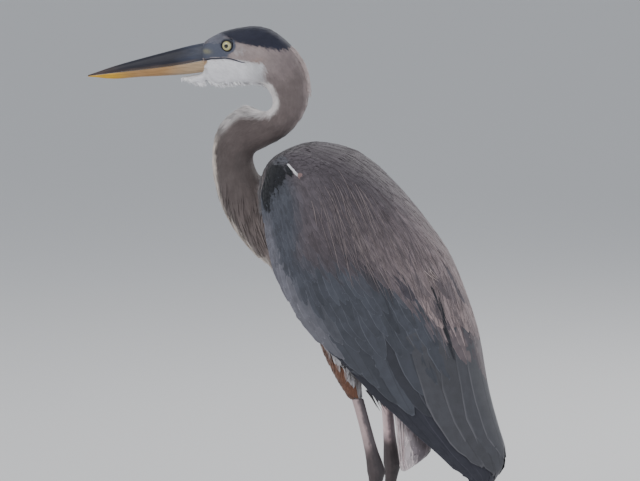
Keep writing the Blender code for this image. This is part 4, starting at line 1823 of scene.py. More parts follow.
@dataclass
class Wing:
    """One folded wing's feathers, row by row from the lowest layer to the highest."""

    form: Form
    side: Side
    # The first rows go into the quills' piece.
    quill_rows: int = 4
    rows: tuple[Row, ...] = (
        # Primaries, which stack towards the wing's tip.
        Row(
            ((330.0, 0.93), (380.0, 0.93), (428.0, 0.92), (455.0, 0.68), (458.0, 0.3)),
            11, (150.0, 190.0), (22.0, 24.0), (-0.02, -0.08),
            Cut(-1.6, 0.5, 0.04, 0.60, 0.8, 0.3, (13, 5)), "primary", 0.07, 0.01,
        ),
        # Secondaries and tertials.
        Row(
            ((262.0, 0.90), (300.0, 0.89), (330.0, 0.80), (380.0, 0.62)),
            6, (125.0, 150.0), (32.0, 40.0), (-0.14, -0.08),
            Cut(-1.4, 1.3, 0.055, 0.52, 0.8, 0.3, (14, 7)), "secondary", 0.07, 0.01,
        ),
        Row(
            ((434.0, 0.60), (449.0, 0.43), (453.0, 0.27), (440.0, 0.13)),
            4, (176.0, 172.0), (45.0, 42.0), (-0.10, -0.05),
            Cut(-0.2, 1.7, 0.055, 0.50, 0.8, 0.3, (14, 7)), "tertial", 0.05, 0.005,
        ),
        # Greater coverts.
        Row(
            (
                (206.0, 0.95), (236.0, 0.94), (262.0, 0.92), (287.0, 0.90), (314.0, 0.88),
                (337.0, 0.84), (329.0, 0.68), (322.0, 0.57), (328.0, 0.47),
            ),
            9, (100.0, 122.0), (28.0, 36.0), (-0.17, -0.14),
            Cut(-1.0, 1.6, 0.055, 0.46, 0.8, 0.28, (13, 7)), "", 0.09, 0.01,
        ),
        # Median coverts, in rows.
        Row(
            (
                (190.0, 0.94), (226.0, 0.88), (258.0, 0.78),
                (276.0, 0.64), (284.0, 0.52), (284.0, 0.42),
            ),
            12, (78.0, 88.0), (21.0, 25.0), (-0.17, -0.14),
            Cut(-0.8, 1.2, 0.05, 0.42, 0.8, 0.25, (11, 5)), "", 0.09, 0.04,
        ),
        Row(
            (
                (166.0, 0.95), (200.0, 0.89), (230.0, 0.78),
                (246.0, 0.64), (256.0, 0.50), (258.0, 0.40),
            ),
            15, (68.0, 78.0), (17.0, 20.0), (-0.16, -0.13),
            Cut(-0.8, 1.1, 0.05, 0.40, 0.8, 0.25, (10, 5)), "", 0.10, 0.05,
        ),
        Row(
            (
                (144.0, 0.95), (174.0, 0.89), (200.0, 0.78),
                (216.0, 0.64), (226.0, 0.50), (230.0, 0.38),
            ),
            18, (58.0, 68.0), (14.0, 17.0), (-0.15, -0.12),
            Cut(-0.8, 1.0, 0.05, 0.36, 0.8, 0.25, (9, 5)), "", 0.11, 0.06,
        ),
        Row(
            (
                (124.0, 0.95), (150.0, 0.89), (172.0, 0.78),
                (188.0, 0.64), (198.0, 0.50), (202.0, 0.36),
            ),
            22, (52.0, 60.0), (11.5, 14.0), (-0.14, -0.12),
            Cut(-0.8, 1.0, 0.05, 0.32, 0.8, 0.25, (9, 3)), "", 0.11, 0.08,
        ),
    )

    def __post_init__(self) -> None:
        """Take the markings and the side's own source of chance."""
        self.marks = Markings(self.form)
        self.rng = np.random.default_rng(SEED + (1 if self.side is Side.LEFT else 2))

    def lesser(self) -> list[Row]:
        """Plan the small coverts' rows, each over the one behind it.

        Returns:
            The rows, from the rearmost to the foremost.
        """
        rows = []
        for end in np.arange(184.0, 24.0, -5.2):
            slope = 0.26 * end
            low, high = end - 0.5 * slope, end + 0.35 * slope
            share = (end - 6.0) / 184.0
            length = min(26.0 + 26.0 * share, low - 3.0)
            width = 6.4 + 5.4 * share
            # Neighbours overlap by nearly half over the wing's 116 mm of outer face.
            count = int(116.0 / (0.55 * width))
            knots = ((low, 0.97 - 0.04 * share), (0.5 * (low + high), 0.76), (high, 0.32 + 0.04 * share))
            sizes = ((size, size) for size in (length, width, -0.0022 * length))
            cut = Cut(-1.1, 0.9, 0.05, 0.30, 0.7, 0.22, (7, 3))
            rows.append(Row(knots, count, *sizes, cut, "", 0.10, 0.14))
        return rows

    def feather(self, sheaf: Sheaf, row: Row, tip: Array, length: float, width: float, fan: float) -> None:
        """Add one feather.

        Args:
            sheaf: What it goes into.
            row: Its row's sizes.
            tip: Its tip's distance along and share across.
            length: Its length in mm.
            width: Its greatest width in mm.
            fan: How far across from the tip the root lies.
        """
        v = stations(row.cut.detail[0])
        t = tip[0] - length * (1.0 - v)
        u = tip[1] + fan * (1.0 - v) ** 1.3
        self.lay_vane(sheaf, row.cut, t, self.form.angle(t, u), v, width, self.tone(row, t, u))

    def tone(self, row: Row, t: Array, u: Array) -> Array:
        """Choose a feather's colour.

        Args:
            row: Its row.
            t: Its stations' distances along the body.
            u: Their shares of the way across the wing.

        Returns:
            The row's own tone or, where it has none, the markings' colour, a little varied.
        """
        middle = len(t) // 2
        base = TONES[row.tone] if row.tone else self.marks.wing(t[middle : middle + 1], u[-3:-2])[0]
        return base * (1.0 + row.vary * self.rng.normal())

    def lay_vane(
        self, sheaf: Sheaf, cut: Cut, t: Array, angle: Array, v: Array, width: float, tint: Array
    ) -> None:
        """Lay a vane over the body's surface along a line.

        Args:
            sheaf: What it goes into.
            cut: Its shape.
            t: Distances along the body at its stations in mm.
            angle: Angles from the dorsal line there in degrees.
            v: The shares of the way along it.
            width: Its greatest width in mm.
            tint: Its colour.
        """
        form, side = self.form, self.side.value
        step = 0.5
        by_t = (form.over(t + step, angle, side, 0.0) - form.over(t - step, angle, side, 0.0)) / MM
        by_a = (form.over(t, angle + step, side, 0.0) - form.over(t, angle - step, side, 0.0)) / MM
        along = by_t * np.gradient(t)[:, None] + by_a * np.gradient(angle)[:, None]
        normal = unit(np.cross(by_t, by_a)) * -side
        across = unit(np.cross(along, normal)) * side
        across *= np.sign(np.einsum("ij,ij->i", across, by_a))[:, None]
        # The step along and the turn that together move a place straight across by 1 mm.
        ee, ff, gg = (np.einsum("ij,ij->i", a, b) for a, b in ((by_t, by_t), (by_t, by_a), (by_a, by_a)))
        pt, pa = np.einsum("ij,ij->i", across, by_t), np.einsum("ij,ij->i", across, by_a)
        det = ee * gg - ff**2
        dt, da = (pt * gg - pa * ff) / det, (pa * ee - pt * ff) / det
        x, off = cut_across(cut, v, width)
        ragged = self.rng.normal(0.0, 0.02, off.shape) * (np.abs(x) > 0.4) * width
        off = off + ragged * (v > 0.3)[:, None]
        out = cut_height(cut, v, x, off, 0.018 * width)
        turn = angle[:, None] + da[:, None] * off
        # A vane that would hang past the wing's edge lies along it instead.
        limit = form.angle(t, np.interp(t, *form.hem))[:, None]
        turn -= np.maximum(turn.max(axis=1, keepdims=True) - limit, 0.0)
        grid = form.over(t[:, None] + dt[:, None] * off, turn, side, out)
        if side > 0:
            grid = grid[:, ::-1]
        middle = grid[len(v) // 3, len(x) // 2]
        root = form.place(middle[None], normal[:1])[0]
        sheaf.add(grid, cut.thick * MM, tint, root, v, normal)

    def plume(self, sheaf: Sheaf, row: Row) -> None:
        """Add a whole row of feathers.

        Args:
            sheaf: What they go into.
            row: The row.
        """
        knots = np.array(row.tips)
        at = np.linspace(0.0, len(knots) - 1.0, row.count)
        tips = blend_rows(knots, at)
        share = at / (len(knots) - 1.0)
        for tip, q in zip(tips, share):
            wander = self.rng.normal(0.0, row.wander, 2)
            length = (row.length[0] + (row.length[1] - row.length[0]) * q) * (1.0 + 0.4 * wander[0])
            width = (row.width[0] + (row.width[1] - row.width[0]) * q) * (1.0 + 0.3 * wander[1])
            moved = tip + np.array([wander[0] * length * 0.5, wander[1] * 0.18])
            fan = row.fan[0] + (row.fan[1] - row.fan[0]) * q
            self.feather(sheaf, row, moved, length, width, fan)

    def build(self, large: Material, small: Material) -> list[Object]:
        """Make the wing's feathers.

        Args:
            large: The quills' material.
            small: The small coverts' material.

        Returns:
            Two pieces: quills with the greater coverts, and the smaller coverts.
        """
        quills, coverts = Sheaf(), Sheaf()
        for row in self.rows[: self.quill_rows]:
            self.plume(quills, row)
        for row in (*self.rows[self.quill_rows :], *self.lesser()):
            self.plume(coverts, row)
        made = [
            quills.build(f"quills_{self.side.word}", large),
            coverts.build(f"coverts_{self.side.word}", small),
        ]
        return made


@dataclass
class Mantle:
    """The long feathers of the back: scapulars over the wings' dorsal edges, and pale plumes."""

    form: Form
    # The last distance along the axis that a feather may reach, in mm.
    last: float = 456.0
    ruffles: int = 14
    threads: int = 300
    # Rows of the longest feathers: root distance, count, length and width.
    rump: tuple[tuple[float, int, float, float], ...] = (
        (262.0, 4, 150.0, 26.0),
        (232.0, 5, 118.0, 24.0),
        (206.0, 6, 100.0, 20.0),
        (184.0, 7, 84.0, 18.0),
    )

    def __post_init__(self) -> None:
        """Take the two wings and a source of chance."""
        self.wings = {side: Wing(self.form, side) for side in Side}
        self.rng = np.random.default_rng(SEED + 9)

    def at_share(self, t: float, u: float) -> float:
        """The angle from the dorsal line at a share of the way across the wing."""
        return float(self.form.angle(np.array(t), np.array(u)))

    def long(
        self,
        sheaf: Sheaf,
        side: Side,
        cut: Cut,
        t: float,
        angle: float,
        length: float,
        width: float,
        sweep: float,
        tint: Array,
    ) -> None:
        """Lay one long feather.

        Args:
            sheaf: What it goes into.
            side: The side that it lies on.
            cut: Its shape.
            t: Its root's distance along the body in mm.
            angle: Its root's angle from the dorsal line in degrees.
            length: Its length in mm.
            width: Its greatest width in mm.
            sweep: How far its tip lies round from its root in degrees.
            tint: Its colour.
        """
        v = stations(cut.detail[0])
        along = np.minimum(t + length * v, self.last)
        turn = angle + sweep * v**1.2
        self.wings[side].lay_vane(sheaf, cut, along, turn, v, width, tint)

    def build(self, broad: Material, fine: Material) -> list[Object]:
        """Make the back's feathers.

        Args:
            broad: The scapulars' material.
            fine: The plumes' material.

        Returns:
            The pieces.
        """
        scapulars, plumes = Sheaf(), Sheaf()
        for side in Side:
            self.longest(scapulars, side)
            for start in np.arange(196.0, -5.0, -6.7):
                self.scapular_row(scapulars, side, start)
            self.border(scapulars, plumes, side)
            self.strands(plumes, side)
        made = [scapulars.build("scapulars", broad), plumes.build("plumes", fine)]
        return made

    def longest(self, sheaf: Sheaf, side: Side) -> None:
        """Add the long feathers over the rump.

        Args:
            sheaf: What they go into.
            side: The side that they lie on.
        """
        rng = self.rng
        cut = Cut(-0.6, 1.1, 0.05, 0.62, 0.8, 0.28, (13, 5))
        for first, count, length, width in self.rump:
            for number in range(count):
                start, angle = first - 4.0 * number, 5.0 + 8.2 * number
                tint = mixed(TONES["mantle"], TONES["mantle_pale"], 0.5 + 0.3 * rng.normal())
                tint = mixed(tint, TONES["tertial"], smooth(215.0, 250.0, start))
                sweep = 2.0 * rng.normal()
                self.long(sheaf, side, cut, start, angle, length - 3.0 * number, width, sweep, tint)

    def scapular_row(self, sheaf: Sheaf, side: Side, start: float) -> None:
        """Add one row of scapulars, from the wing's edge up to the dorsal line.

        Args:
            sheaf: What they go into.
            side: The side that they lie on.
            start: Their roots' distance along the body in mm.
        """
        rng, marks = self.rng, Markings(self.form)
        share = (start + 5.0) / 201.0
        width = 4.8 + 3.4 * share
        length = 26.0 + 66.0 * share
        edge = self.at_share(start, 0.36)
        cut = Cut(-1.6 + share, 1.2, 0.05, 0.30, 0.6, 0.22, (8, 3), point=0.9)
        wing = self.form.wing_row(np.array(start))
        gap = math.degrees(0.62 * width / max(float(wing[3]), 30.0))
        for angle in np.arange(edge, 0.3 * gap, -gap):
            place = start + rng.normal(0.0, 3.0)
            u = (angle - float(wing[4])) / 90.0
            tone = marks.wing(np.array([start + 20.0]), np.array([u]))[0]
            tint = tone * (0.84 + 0.30 * smooth(30.0, 120.0, start)) * (1.0 + 0.10 * rng.normal())
            turned = angle + rng.normal(0.0, 1.0)
            reach = length * rng.uniform(0.85, 1.2)
            sweep = rng.normal(0.0, 2.0)
            self.long(sheaf, side, cut, max(place, -6.0), turned, reach, width, sweep, tint)

    def border(self, broad: Sheaf, fine: Sheaf, side: Side) -> None:
        """Add dark feathers under the rearmost scapulars' edge, a painted shadow of that edge, and the pale
        ruffle at its start.

        Args:
            broad: What the dark feathers go into.
            fine: What the pale ones go into.
            side: The side that they lie on.
        """
        rng = self.rng
        cut = Cut(0.1, 0.9, 0.05, 0.3, 0.6, 0.2, (9, 3), point=0.8)
        # Painted shadow: a line of dark feathers along the scapulars' edge.
        for start in np.arange(282.0, 214.0, -5.0):
            angle = self.at_share(start, 0.275 + 0.0014 * (start - 214.0))
            tint = TONES["secondary"] * rng.uniform(0.5, 0.9)
            angle += rng.normal(0.0, 0.8)
            length, width = rng.uniform(20.0, 28.0), rng.uniform(2.2, 3.2)
            self.long(broad, side, cut, start, angle, length, width, 1.2, tint)
        ruffle = Cut(0.3, 2.2, 0.0, 0.3, 0.5, 0.2, (9, 2))
        for _ in range(self.ruffles):
            start = rng.uniform(198.0, 214.0)
            angle = self.at_share(start, rng.uniform(0.20, 0.27))
            tint = TONES["cheek"] * rng.uniform(0.8, 1.5)
            length, width = rng.uniform(10.0, 18.0), rng.uniform(0.5, 0.9)
            self.long(fine, side, ruffle, start, angle, length, width, rng.uniform(-3.0, 3.0), tint)

    def strands(self, sheaf: Sheaf, side: Side) -> None:
        """Add the thin pale plumes that hang over one wing.

        Args:
            sheaf: What they go into.
            side: The side that they lie on.
        """
        rng = self.rng
        cut = Cut(-0.1, 0.9, 0.0, 0.25, 0.5, 0.2, (9, 2))
        for _ in range(self.threads):
            start = rng.uniform(45.0, 235.0)
            angle = self.at_share(start, 0.02) + rng.beta(1.4, 1.6) * 42.0 - 4.0
            length = rng.uniform(22.0, 80.0)
            tint = mixed(TONES["mantle"], TONES["cheek"], 0.75 * rng.uniform(0.1, 0.95) ** 1.5)
            sweep = 0.13 * length + rng.normal(0.0, 2.5)
            self.long(sheaf, side, cut, start, angle, length, rng.uniform(0.4, 0.85), sweep, tint)


@dataclass
class Drape:
    """Lays single feathers over the outline of the body."""

    skin: Skin
    seed: int

    def __post_init__(self) -> None:
        """Take the outline and a source of chance."""
        self.tree = self.skin.outline
        self.rng = np.random.default_rng(self.seed)

    def near(self, point: Array) -> tuple[Array, Array]:
        """The outline's nearest place and its normal there."""
        place, normal, _, _ = self.tree.find_nearest(Vector(point))
        return np.array(place), np.array(normal)

    def lay(
        self,
        sheaf: Sheaf,
        start: Array,
        heading: Callable[[Array], Array],
        length: float,
        width: float,
        cut: Cut,
        tint: Array | Callable[[Array], Array],
    ) -> None:
        """Lay one feather.

        Args:
            sheaf: What it goes into.
            start: Where its root is, near the outline.
            heading: The direction that it takes at a place.
            length: Its length in mm.
            width: Its greatest width in mm.
            cut: Its shape.
            tint: Its colour, or what gives it for a place near the tip.
        """
        v = stations(cut.detail[0])
        place, normal = self.near(start)
        line, normals = [place], [normal]
        for step in np.diff(v) * length * MM:
            way = heading(place)
            way = way - normal * (way @ normal)
            place, new = self.near(place + way / max(np.linalg.norm(way), 1e-9) * step)
            normal = unit(normal * 0.5 + new * 0.5)
            line.append(place)
            normals.append(normal)
        centre, up = np.array(line), np.array(normals)
        along = unit(np.gradient(centre, axis=0))
        across = unit(np.cross(along, up))
        x, off = cut_across(cut, v, width)
        off = off + self.rng.normal(0.0, 0.02, off.shape) * (np.abs(x) > 0.4) * width
        out = cut_height(cut, v, x, off, 0.05 * width)
        grid = centre[:, None] + across[:, None] * (off * MM)[..., None]
        grid = grid + up[:, None] * (out * MM)[..., None]
        if callable(tint):
            tint = tint(line[-3] * 0.5 + line[-2] * 0.5)
        root = self.skin.form.place(centre[:1], up[:1])[0]
        sheaf.add(grid[:, ::-1], cut.thick * MM, tint, root, v, up)


@dataclass
class Tail:
    """The tail's quills and their coverts behind, and the pale coverts before and beside them."""

    # Each layer: feathers, length, width, which face, how far down its roots are, and height.
    layers: tuple[tuple[int, float, float, int, tuple[float, ...], float], ...] = (
        (12, 128.0, 24.0, 1, (0.02,), -2.6),
        (8, 84.0, 20.0, 1, (0.0, 0.14), -1.6),
        (9, 66.0, 19.0, -1, (0.46, 0.36, 0.26, 0.16, 0.06), -2.4),
    )
    flank: int = 150
    # Flank feathers shorter than this, in mm, are left out.
    least: float = 12.0
    down: tuple[float, float, float] = (0.07, 0.0, -1.0)

    def build(self, skin: Skin, drape: Drape, finish: Material) -> Object:
        """Make the tail's feathers.

        Args:
            skin: The skin.
            drape: What lays them.
            finish: Their material.

        Returns:
            The piece.
        """
        sheaf, rng = Sheaf(), drape.rng
        marks = Markings(skin.form)
        low, high = (np.array(v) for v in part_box("tail"))
        middle, half = (low + high) / 2.0, (high - low) / 2.0
        down = np.array(self.down)
        for count, length, width, face, drops, out in self.layers:
            for drop, number in ((drop, number) for drop in drops for number in range(count)):
                share = (number + 0.5) / count * 2.0 - 1.0 + rng.normal(0.0, 0.02)
                x = middle[0] + face * half[0] * (1.1 - 0.4 * abs(share))
                z = high[2] - 0.006 - drop * (high[2] - low[2])
                start = np.array([x, share * half[1] * 0.85, z])
                way = down + np.array([0.0, 0.08 * share, 0.0])
                reach = min(length, (z - low[2]) / MM - 2.0) * rng.uniform(0.93, 1.0)
                cut = Cut(out, 1.2, 0.04 if share > 0 else -0.04, 0.66, 0.8, 0.3, (10, 5))
                at = start + down * (0.6 * reach * MM)
                tint = marks.tail(at[None])[0] * (1.0 + 0.06 * rng.normal())
                drape.lay(sheaf, start, lambda _, w=way: w, reach, width, cut, tint)
        sides = (np.abs(skin.normals[:, 1]) > 0.35) & (skin.normals[:, 2] > -0.5)
        flank = np.flatnonzero((skin.weights[Group.TAIL] > 0.5) & sides)
        spots = rng.choice(flank, min(self.flank, len(flank)), replace=False)
        cut = Cut(-2.2, 1.8, 0.02, 0.6, 0.8, 0.3, (8, 5))
        for spot in spots[np.argsort(skin.points[spots, 2])]:
            place = skin.points[spot]
            reach = min(rng.uniform(34.0, 48.0), (place[2] - low[2]) / MM - 1.0)
            if reach < self.least:
                continue
            shade = 1.0 + 0.03 * rng.normal()
            drape.lay(
                sheaf,
                place,
                lambda _: down,
                reach,
                rng.uniform(9.0, 13.0),
                cut,
                lambda at, k=shade: marks.tail(at[None])[0] * k,
            )
        piece = sheaf.build("tail_feathers", finish)
        return piece


@dataclass
class Tufts:
    """The loose plumes at the base of the neck, on the belly, wings' bends and thighs."""

    breast: int = 460
    belly: int = 60
    shoulder: int = 2600
    thigh: int = 760
    wisps: int = 60
    # Where the breast's plumes are rooted, in rows of the neck's table.
    breast_rows: tuple[float, float] = (9.4, 11.9)
    # Where the belly's are, in metres along the body.
    belly_reach: tuple[float, float] = (0.17, 0.27)
    # The wings' small feathers run away from this place at the neck's base.
    base: tuple[float, float, float] = (-48.0, 0.0, 536.0)

    def build(self, skin: Skin, drape: Drape, finish: Material) -> list[Object]:
        """Make the plumes.

        Args:
            skin: The skin.
            drape: What lays them.
            finish: Their material.

        Returns:
            The pieces.
        """
        sheaf = Sheaf()
        cut = Cut(-2.8, 3.1, 0.0, 0.35, 0.4, 0.3, (9, 3))
        self.breasts(skin, drape, sheaf, cut)
        self.bellies(skin, drape, sheaf, cut)
        sheaf.hold = 0.85
        pieces = [
            sheaf.build("breast_plumes", finish),
            self.shoulders(skin, drape, finish),
            self.thighs(skin, drape, finish),
        ]
        return pieces

    def breasts(self, skin: Skin, drape: Drape, sheaf: Sheaf, cut: Cut) -> None:
        """Lay the plumes that hang from the neck's base over the breast.

        Args:
            skin: The skin.
            drape: What lays them.
            sheaf: What they go into.
            cut: Their shape.
        """
        form, rng = skin.form, drape.rng
        marks = Markings(form)
        last = form.spine_steps
        steps = len(form.neck) - 1
        for _ in range(self.breast):
            s = rng.uniform(*self.breast_rows)
            index = min(int(s / steps * last), last - 1)
            turn = rng.uniform(-1.0, 1.0) * 2.3
            out = -form.nape[index] * math.cos(turn) * form.depth[index]
            start = form.spine[index] + out + np.array([0.0, math.sin(turn) * form.width[index], 0.0])
            near, _ = drape.near(start)
            tint = marks.neck(near[None], np.array([index]), np.array([turn]))[0]
            tint = tint * (1.12 + 0.06 * rng.normal())
            way = form.ahead[index]
            length, width = rng.uniform(30.0, 66.0), rng.uniform(1.6, 3.2)
            drape.lay(sheaf, start, lambda _, w=way: w, length, width, cut, tint)

    def bellies(self, skin: Skin, drape: Drape, sheaf: Sheaf, cut: Cut) -> None:
        """Lay the broad soft feathers along the belly.

        Args:
            skin: The skin.
            drape: What lays them.
            sheaf: What they go into.
            cut: Their shape.
        """
        form, rng = skin.form, drape.rng
        marks = Markings(form)
        for _ in range(self.belly):
            centre = form.root + form.along * rng.uniform(*self.belly_reach)
            centre = centre + np.array([0.0, rng.uniform(-0.016, 0.016), 0.0])
            near = drape.tree.ray_cast(Vector(centre), Vector(-form.dorsal))[0]
            if near is None:
                continue
            near = np.array(near)
            tint = marks.trunk(near[None])[0] * (1.0 + 0.10 * rng.normal())
            length, width = rng.uniform(28.0, 52.0), rng.uniform(5.0, 9.0)
            drape.lay(sheaf, near, lambda _: form.along, length, width, cut, tint)

    def rear(self, skin: Skin, sheaf: Sheaf, rng: np.random.Generator) -> None:
        """Hang the dusky wisps behind the tops of the legs.

        Args:
            skin: The skin.
            sheaf: What they go into.
            rng: The source of chance.
        """
        v = stations(7)
        for number in range(self.wisps):
            side = 1.0 if number % 2 else -1.0
            x, y, z = rng.uniform(93.0, 106.0), side * rng.uniform(22.0, 44.0), rng.uniform(288.0, 297.0)
            start = skin.form.at(x, y, z)
            way = unit(np.array([0.62, 0.06 * rng.normal(), -0.75 + 0.12 * rng.normal()]))
            length = rng.uniform(16.0, 34.0)
            line = start + way * (v[:, None] * length * MM)
            line[:, 2] -= 4.0 * MM * v**2
            across = unit(np.cross(way, np.array([0.0, -side, 0.2])))
            half = rng.uniform(0.5, 1.1) * np.maximum(1.0 - v**1.6, 0.08)
            root = skin.form.place(start[None], np.array([[0.0, -side, 0.0]]))[0]
            tint = TONES["wisp"] * rng.uniform(0.7, 1.4)
            sheaf.add(ribbon(line, across, half), 0.3 * MM, tint, root, v)

    def shoulders(self, skin: Skin, drape: Drape, finish: Material) -> Object:
        """Lay the small feathers that run from the neck's base over the bends of the wings.

        Args:
            skin: The skin.
            drape: What lays them.
            finish: Their material.

        Returns:
            The piece.
        """
        sheaf, form, rng = Sheaf(hold=0.85), skin.form, drape.rng
        t, _, _ = form.body_coords(skin.points)
        spots = np.flatnonzero(skin.shoulder)
        spots = rng.choice(spots, min(self.shoulder, len(spots)), replace=False)
        base = form.at(*self.base)
        for spot in spots[np.argsort(-t[spots])]:
            ahead = (skin.shoulder_end - t[spot]) / 40.0
            cut = Cut(-0.9 + 0.3 * ahead, 1.1, 0.0, 0.35, 0.5, 0.15, (6, 3), point=0.8)
            shade = 1.0 + 0.06 * rng.normal()
            drape.lay(
                sheaf,
                skin.points[spot],
                lambda at: unit(at - base) + 1.2 * form.along,
                rng.uniform(11.0, 16.0),
                rng.uniform(2.2, 3.2),
                cut,
                lambda at, k=shade: skin.tone(at) * k,
            )
        return sheaf.build("bend_feathers", finish)

    def thighs(self, skin: Skin, drape: Drape, finish: Material) -> Object:
        """Lay the longer feathers down the fronts of the thighs, and the wisps behind them.

        Args:
            skin: The skin.
            drape: What lays them.
            finish: Their material.

        Returns:
            The piece.
        """
        sheaf, rng = Sheaf(hold=0.6), drape.rng
        marks = Markings(skin.form)
        front = (skin.normals[:, 0] < 0.35) & (skin.normals[:, 2] > -0.6)
        front = np.flatnonzero((skin.weights[Group.THIGH] > 0.5) & front)
        spots = rng.choice(front, self.thigh, replace=False)
        way = np.array([0.22, 0.0, -1.0])
        for spot in spots[np.argsort(skin.points[spots, 2])]:
            place = skin.points[spot]
            out = -1.4 + 1.8 * smooth(0.2, -0.6, skin.normals[spot, 0])
            cut = Cut(out, 2.0, 0.03, 0.35, 0.6, 0.2, (7, 3))
            reach = rng.uniform(14.0, 22.0)
            # None hangs past the thigh's ragged hem.
            hem = skin.form.at(0.0, 0.0, rng.uniform(266.0, 276.0))[2]
            reach = min(reach, max((place[2] - hem) / MM, 5.0))
            shade = 1.0 + 0.09 * rng.normal()
            drape.lay(
                sheaf,
                place,
                lambda _: way,
                reach,
                rng.uniform(3.0, 4.6),
                cut,
                lambda at, k=shade: marks.thigh(at[None])[0] * k,
            )
        self.rear(skin, sheaf, rng)
        return sheaf.build("thigh_plumes", finish)


@dataclass
class Wrist:
    """The small bare spot with white feathers at the bend of the left wing; sizes in mm."""

    # The spot's distance along and share across, and its half length, half width and height.
    place: tuple[float, float] = (27.5, 0.378)
    spot: tuple[float, float, float] = (4.4, 3.2, 0.9)
    pink: Colour = (0.23, 0.150, 0.145)
    # Distance along, share across, spread of both, count, length, width, colour and its strength.
    strokes: tuple[tuple[float, float, float, float, int, float, float, str, float], ...] = (
        (7.0, 0.440, 4.0, 0.022, 7, 12.0, 3.2, "shoulder", 1.0),
        (9.0, 0.390, 4.0, 0.010, 9, 8.0, 1.7, "throat", 0.85),
        (16.5, 0.395, 3.0, 0.010, 8, 8.0, 1.6, "throat", 0.7225),
        (22.0, 0.360, 1.5, 0.026, 7, 8.5, 2.4, "mantle", 0.9),
    )

    def build(self, form: Form, feathers: Material, skin: Material) -> list[Object]:
        """Make the spot and its feathers.

        Args:
            form: The construction lines.
            feathers: The feathers' material.
            skin: The spot's material.

        Returns:
            Both pieces.
        """
        return [self.feathers(form, feathers), self.bare(form, skin)]

    def feathers(self, form: Form, finish: Material) -> Object:
        """Make the small feathers round the spot.

        Args:
            form: The construction lines.
            finish: Their material.

        Returns:
            The piece.
        """
        wing, sheaf = Wing(form, Side.LEFT), Sheaf()
        cut = Cut(0.1, 0.9, 0.04, 0.45, 0.6, 0.22, (7, 5))
        rng = np.random.default_rng(SEED + 12)
        v = stations(cut.detail[0])
        for start, share, spread, wide, count, length, width, tone, strength in self.strokes:
            for _ in range(count):
                t, u = start + spread * rng.uniform(-1.0, 1.0), share + wide * rng.uniform(-1.0, 1.0)
                along = t + length * rng.uniform(0.8, 1.15) * v
                shade = TONES[tone] * strength * (1.0 + 0.1 * rng.normal())
                turn = form.angle(along, np.full_like(along, u))
                wing.lay_vane(sheaf, cut, along, turn, v, width, shade)
        piece = sheaf.build("wrist_feathers", finish)
        return piece

    def bare(self, form: Form, finish: Material) -> Object:
        """Make the bare spot, a low and uneven mound.

        Args:
            form: The construction lines.
            finish: Its material.

        Returns:
            The piece.
        """
        t, u = (np.array(value) for value in self.place)
        angle = form.angle(t, u)
        centre = form.over(t, angle, Side.LEFT.value, 0.2)
        up = unit(form.over(t, angle, Side.LEFT.value, 2.0) - centre)
        across = unit(np.cross(form.along, up))
        axes = np.stack([form.along, across, up]) * np.array(self.spot)[:, None] * MM
        ball = bmesh.new()
        bmesh.ops.create_icosphere(ball, subdivisions=4, radius=1.0)
        for v in ball.verts:
            wave = 1.0 + 0.10 * noise.noise(v.co * 1.7)
            v.co = Vector(centre + (np.array(v.co) * wave) @ axes)
        mesh = bpy.data.meshes.new("wrist_skin")
        ball.to_mesh(mesh)
        ball.free()
        sealed(mesh)
        blotches = 1.0 + 0.25 * ripple(vertices(mesh), 0.004, 3.0)
        paint(mesh, "tint", np.array(self.pink) * blotches[:, None])
        piece = placed("wrist_skin", mesh, finish)
        return piece


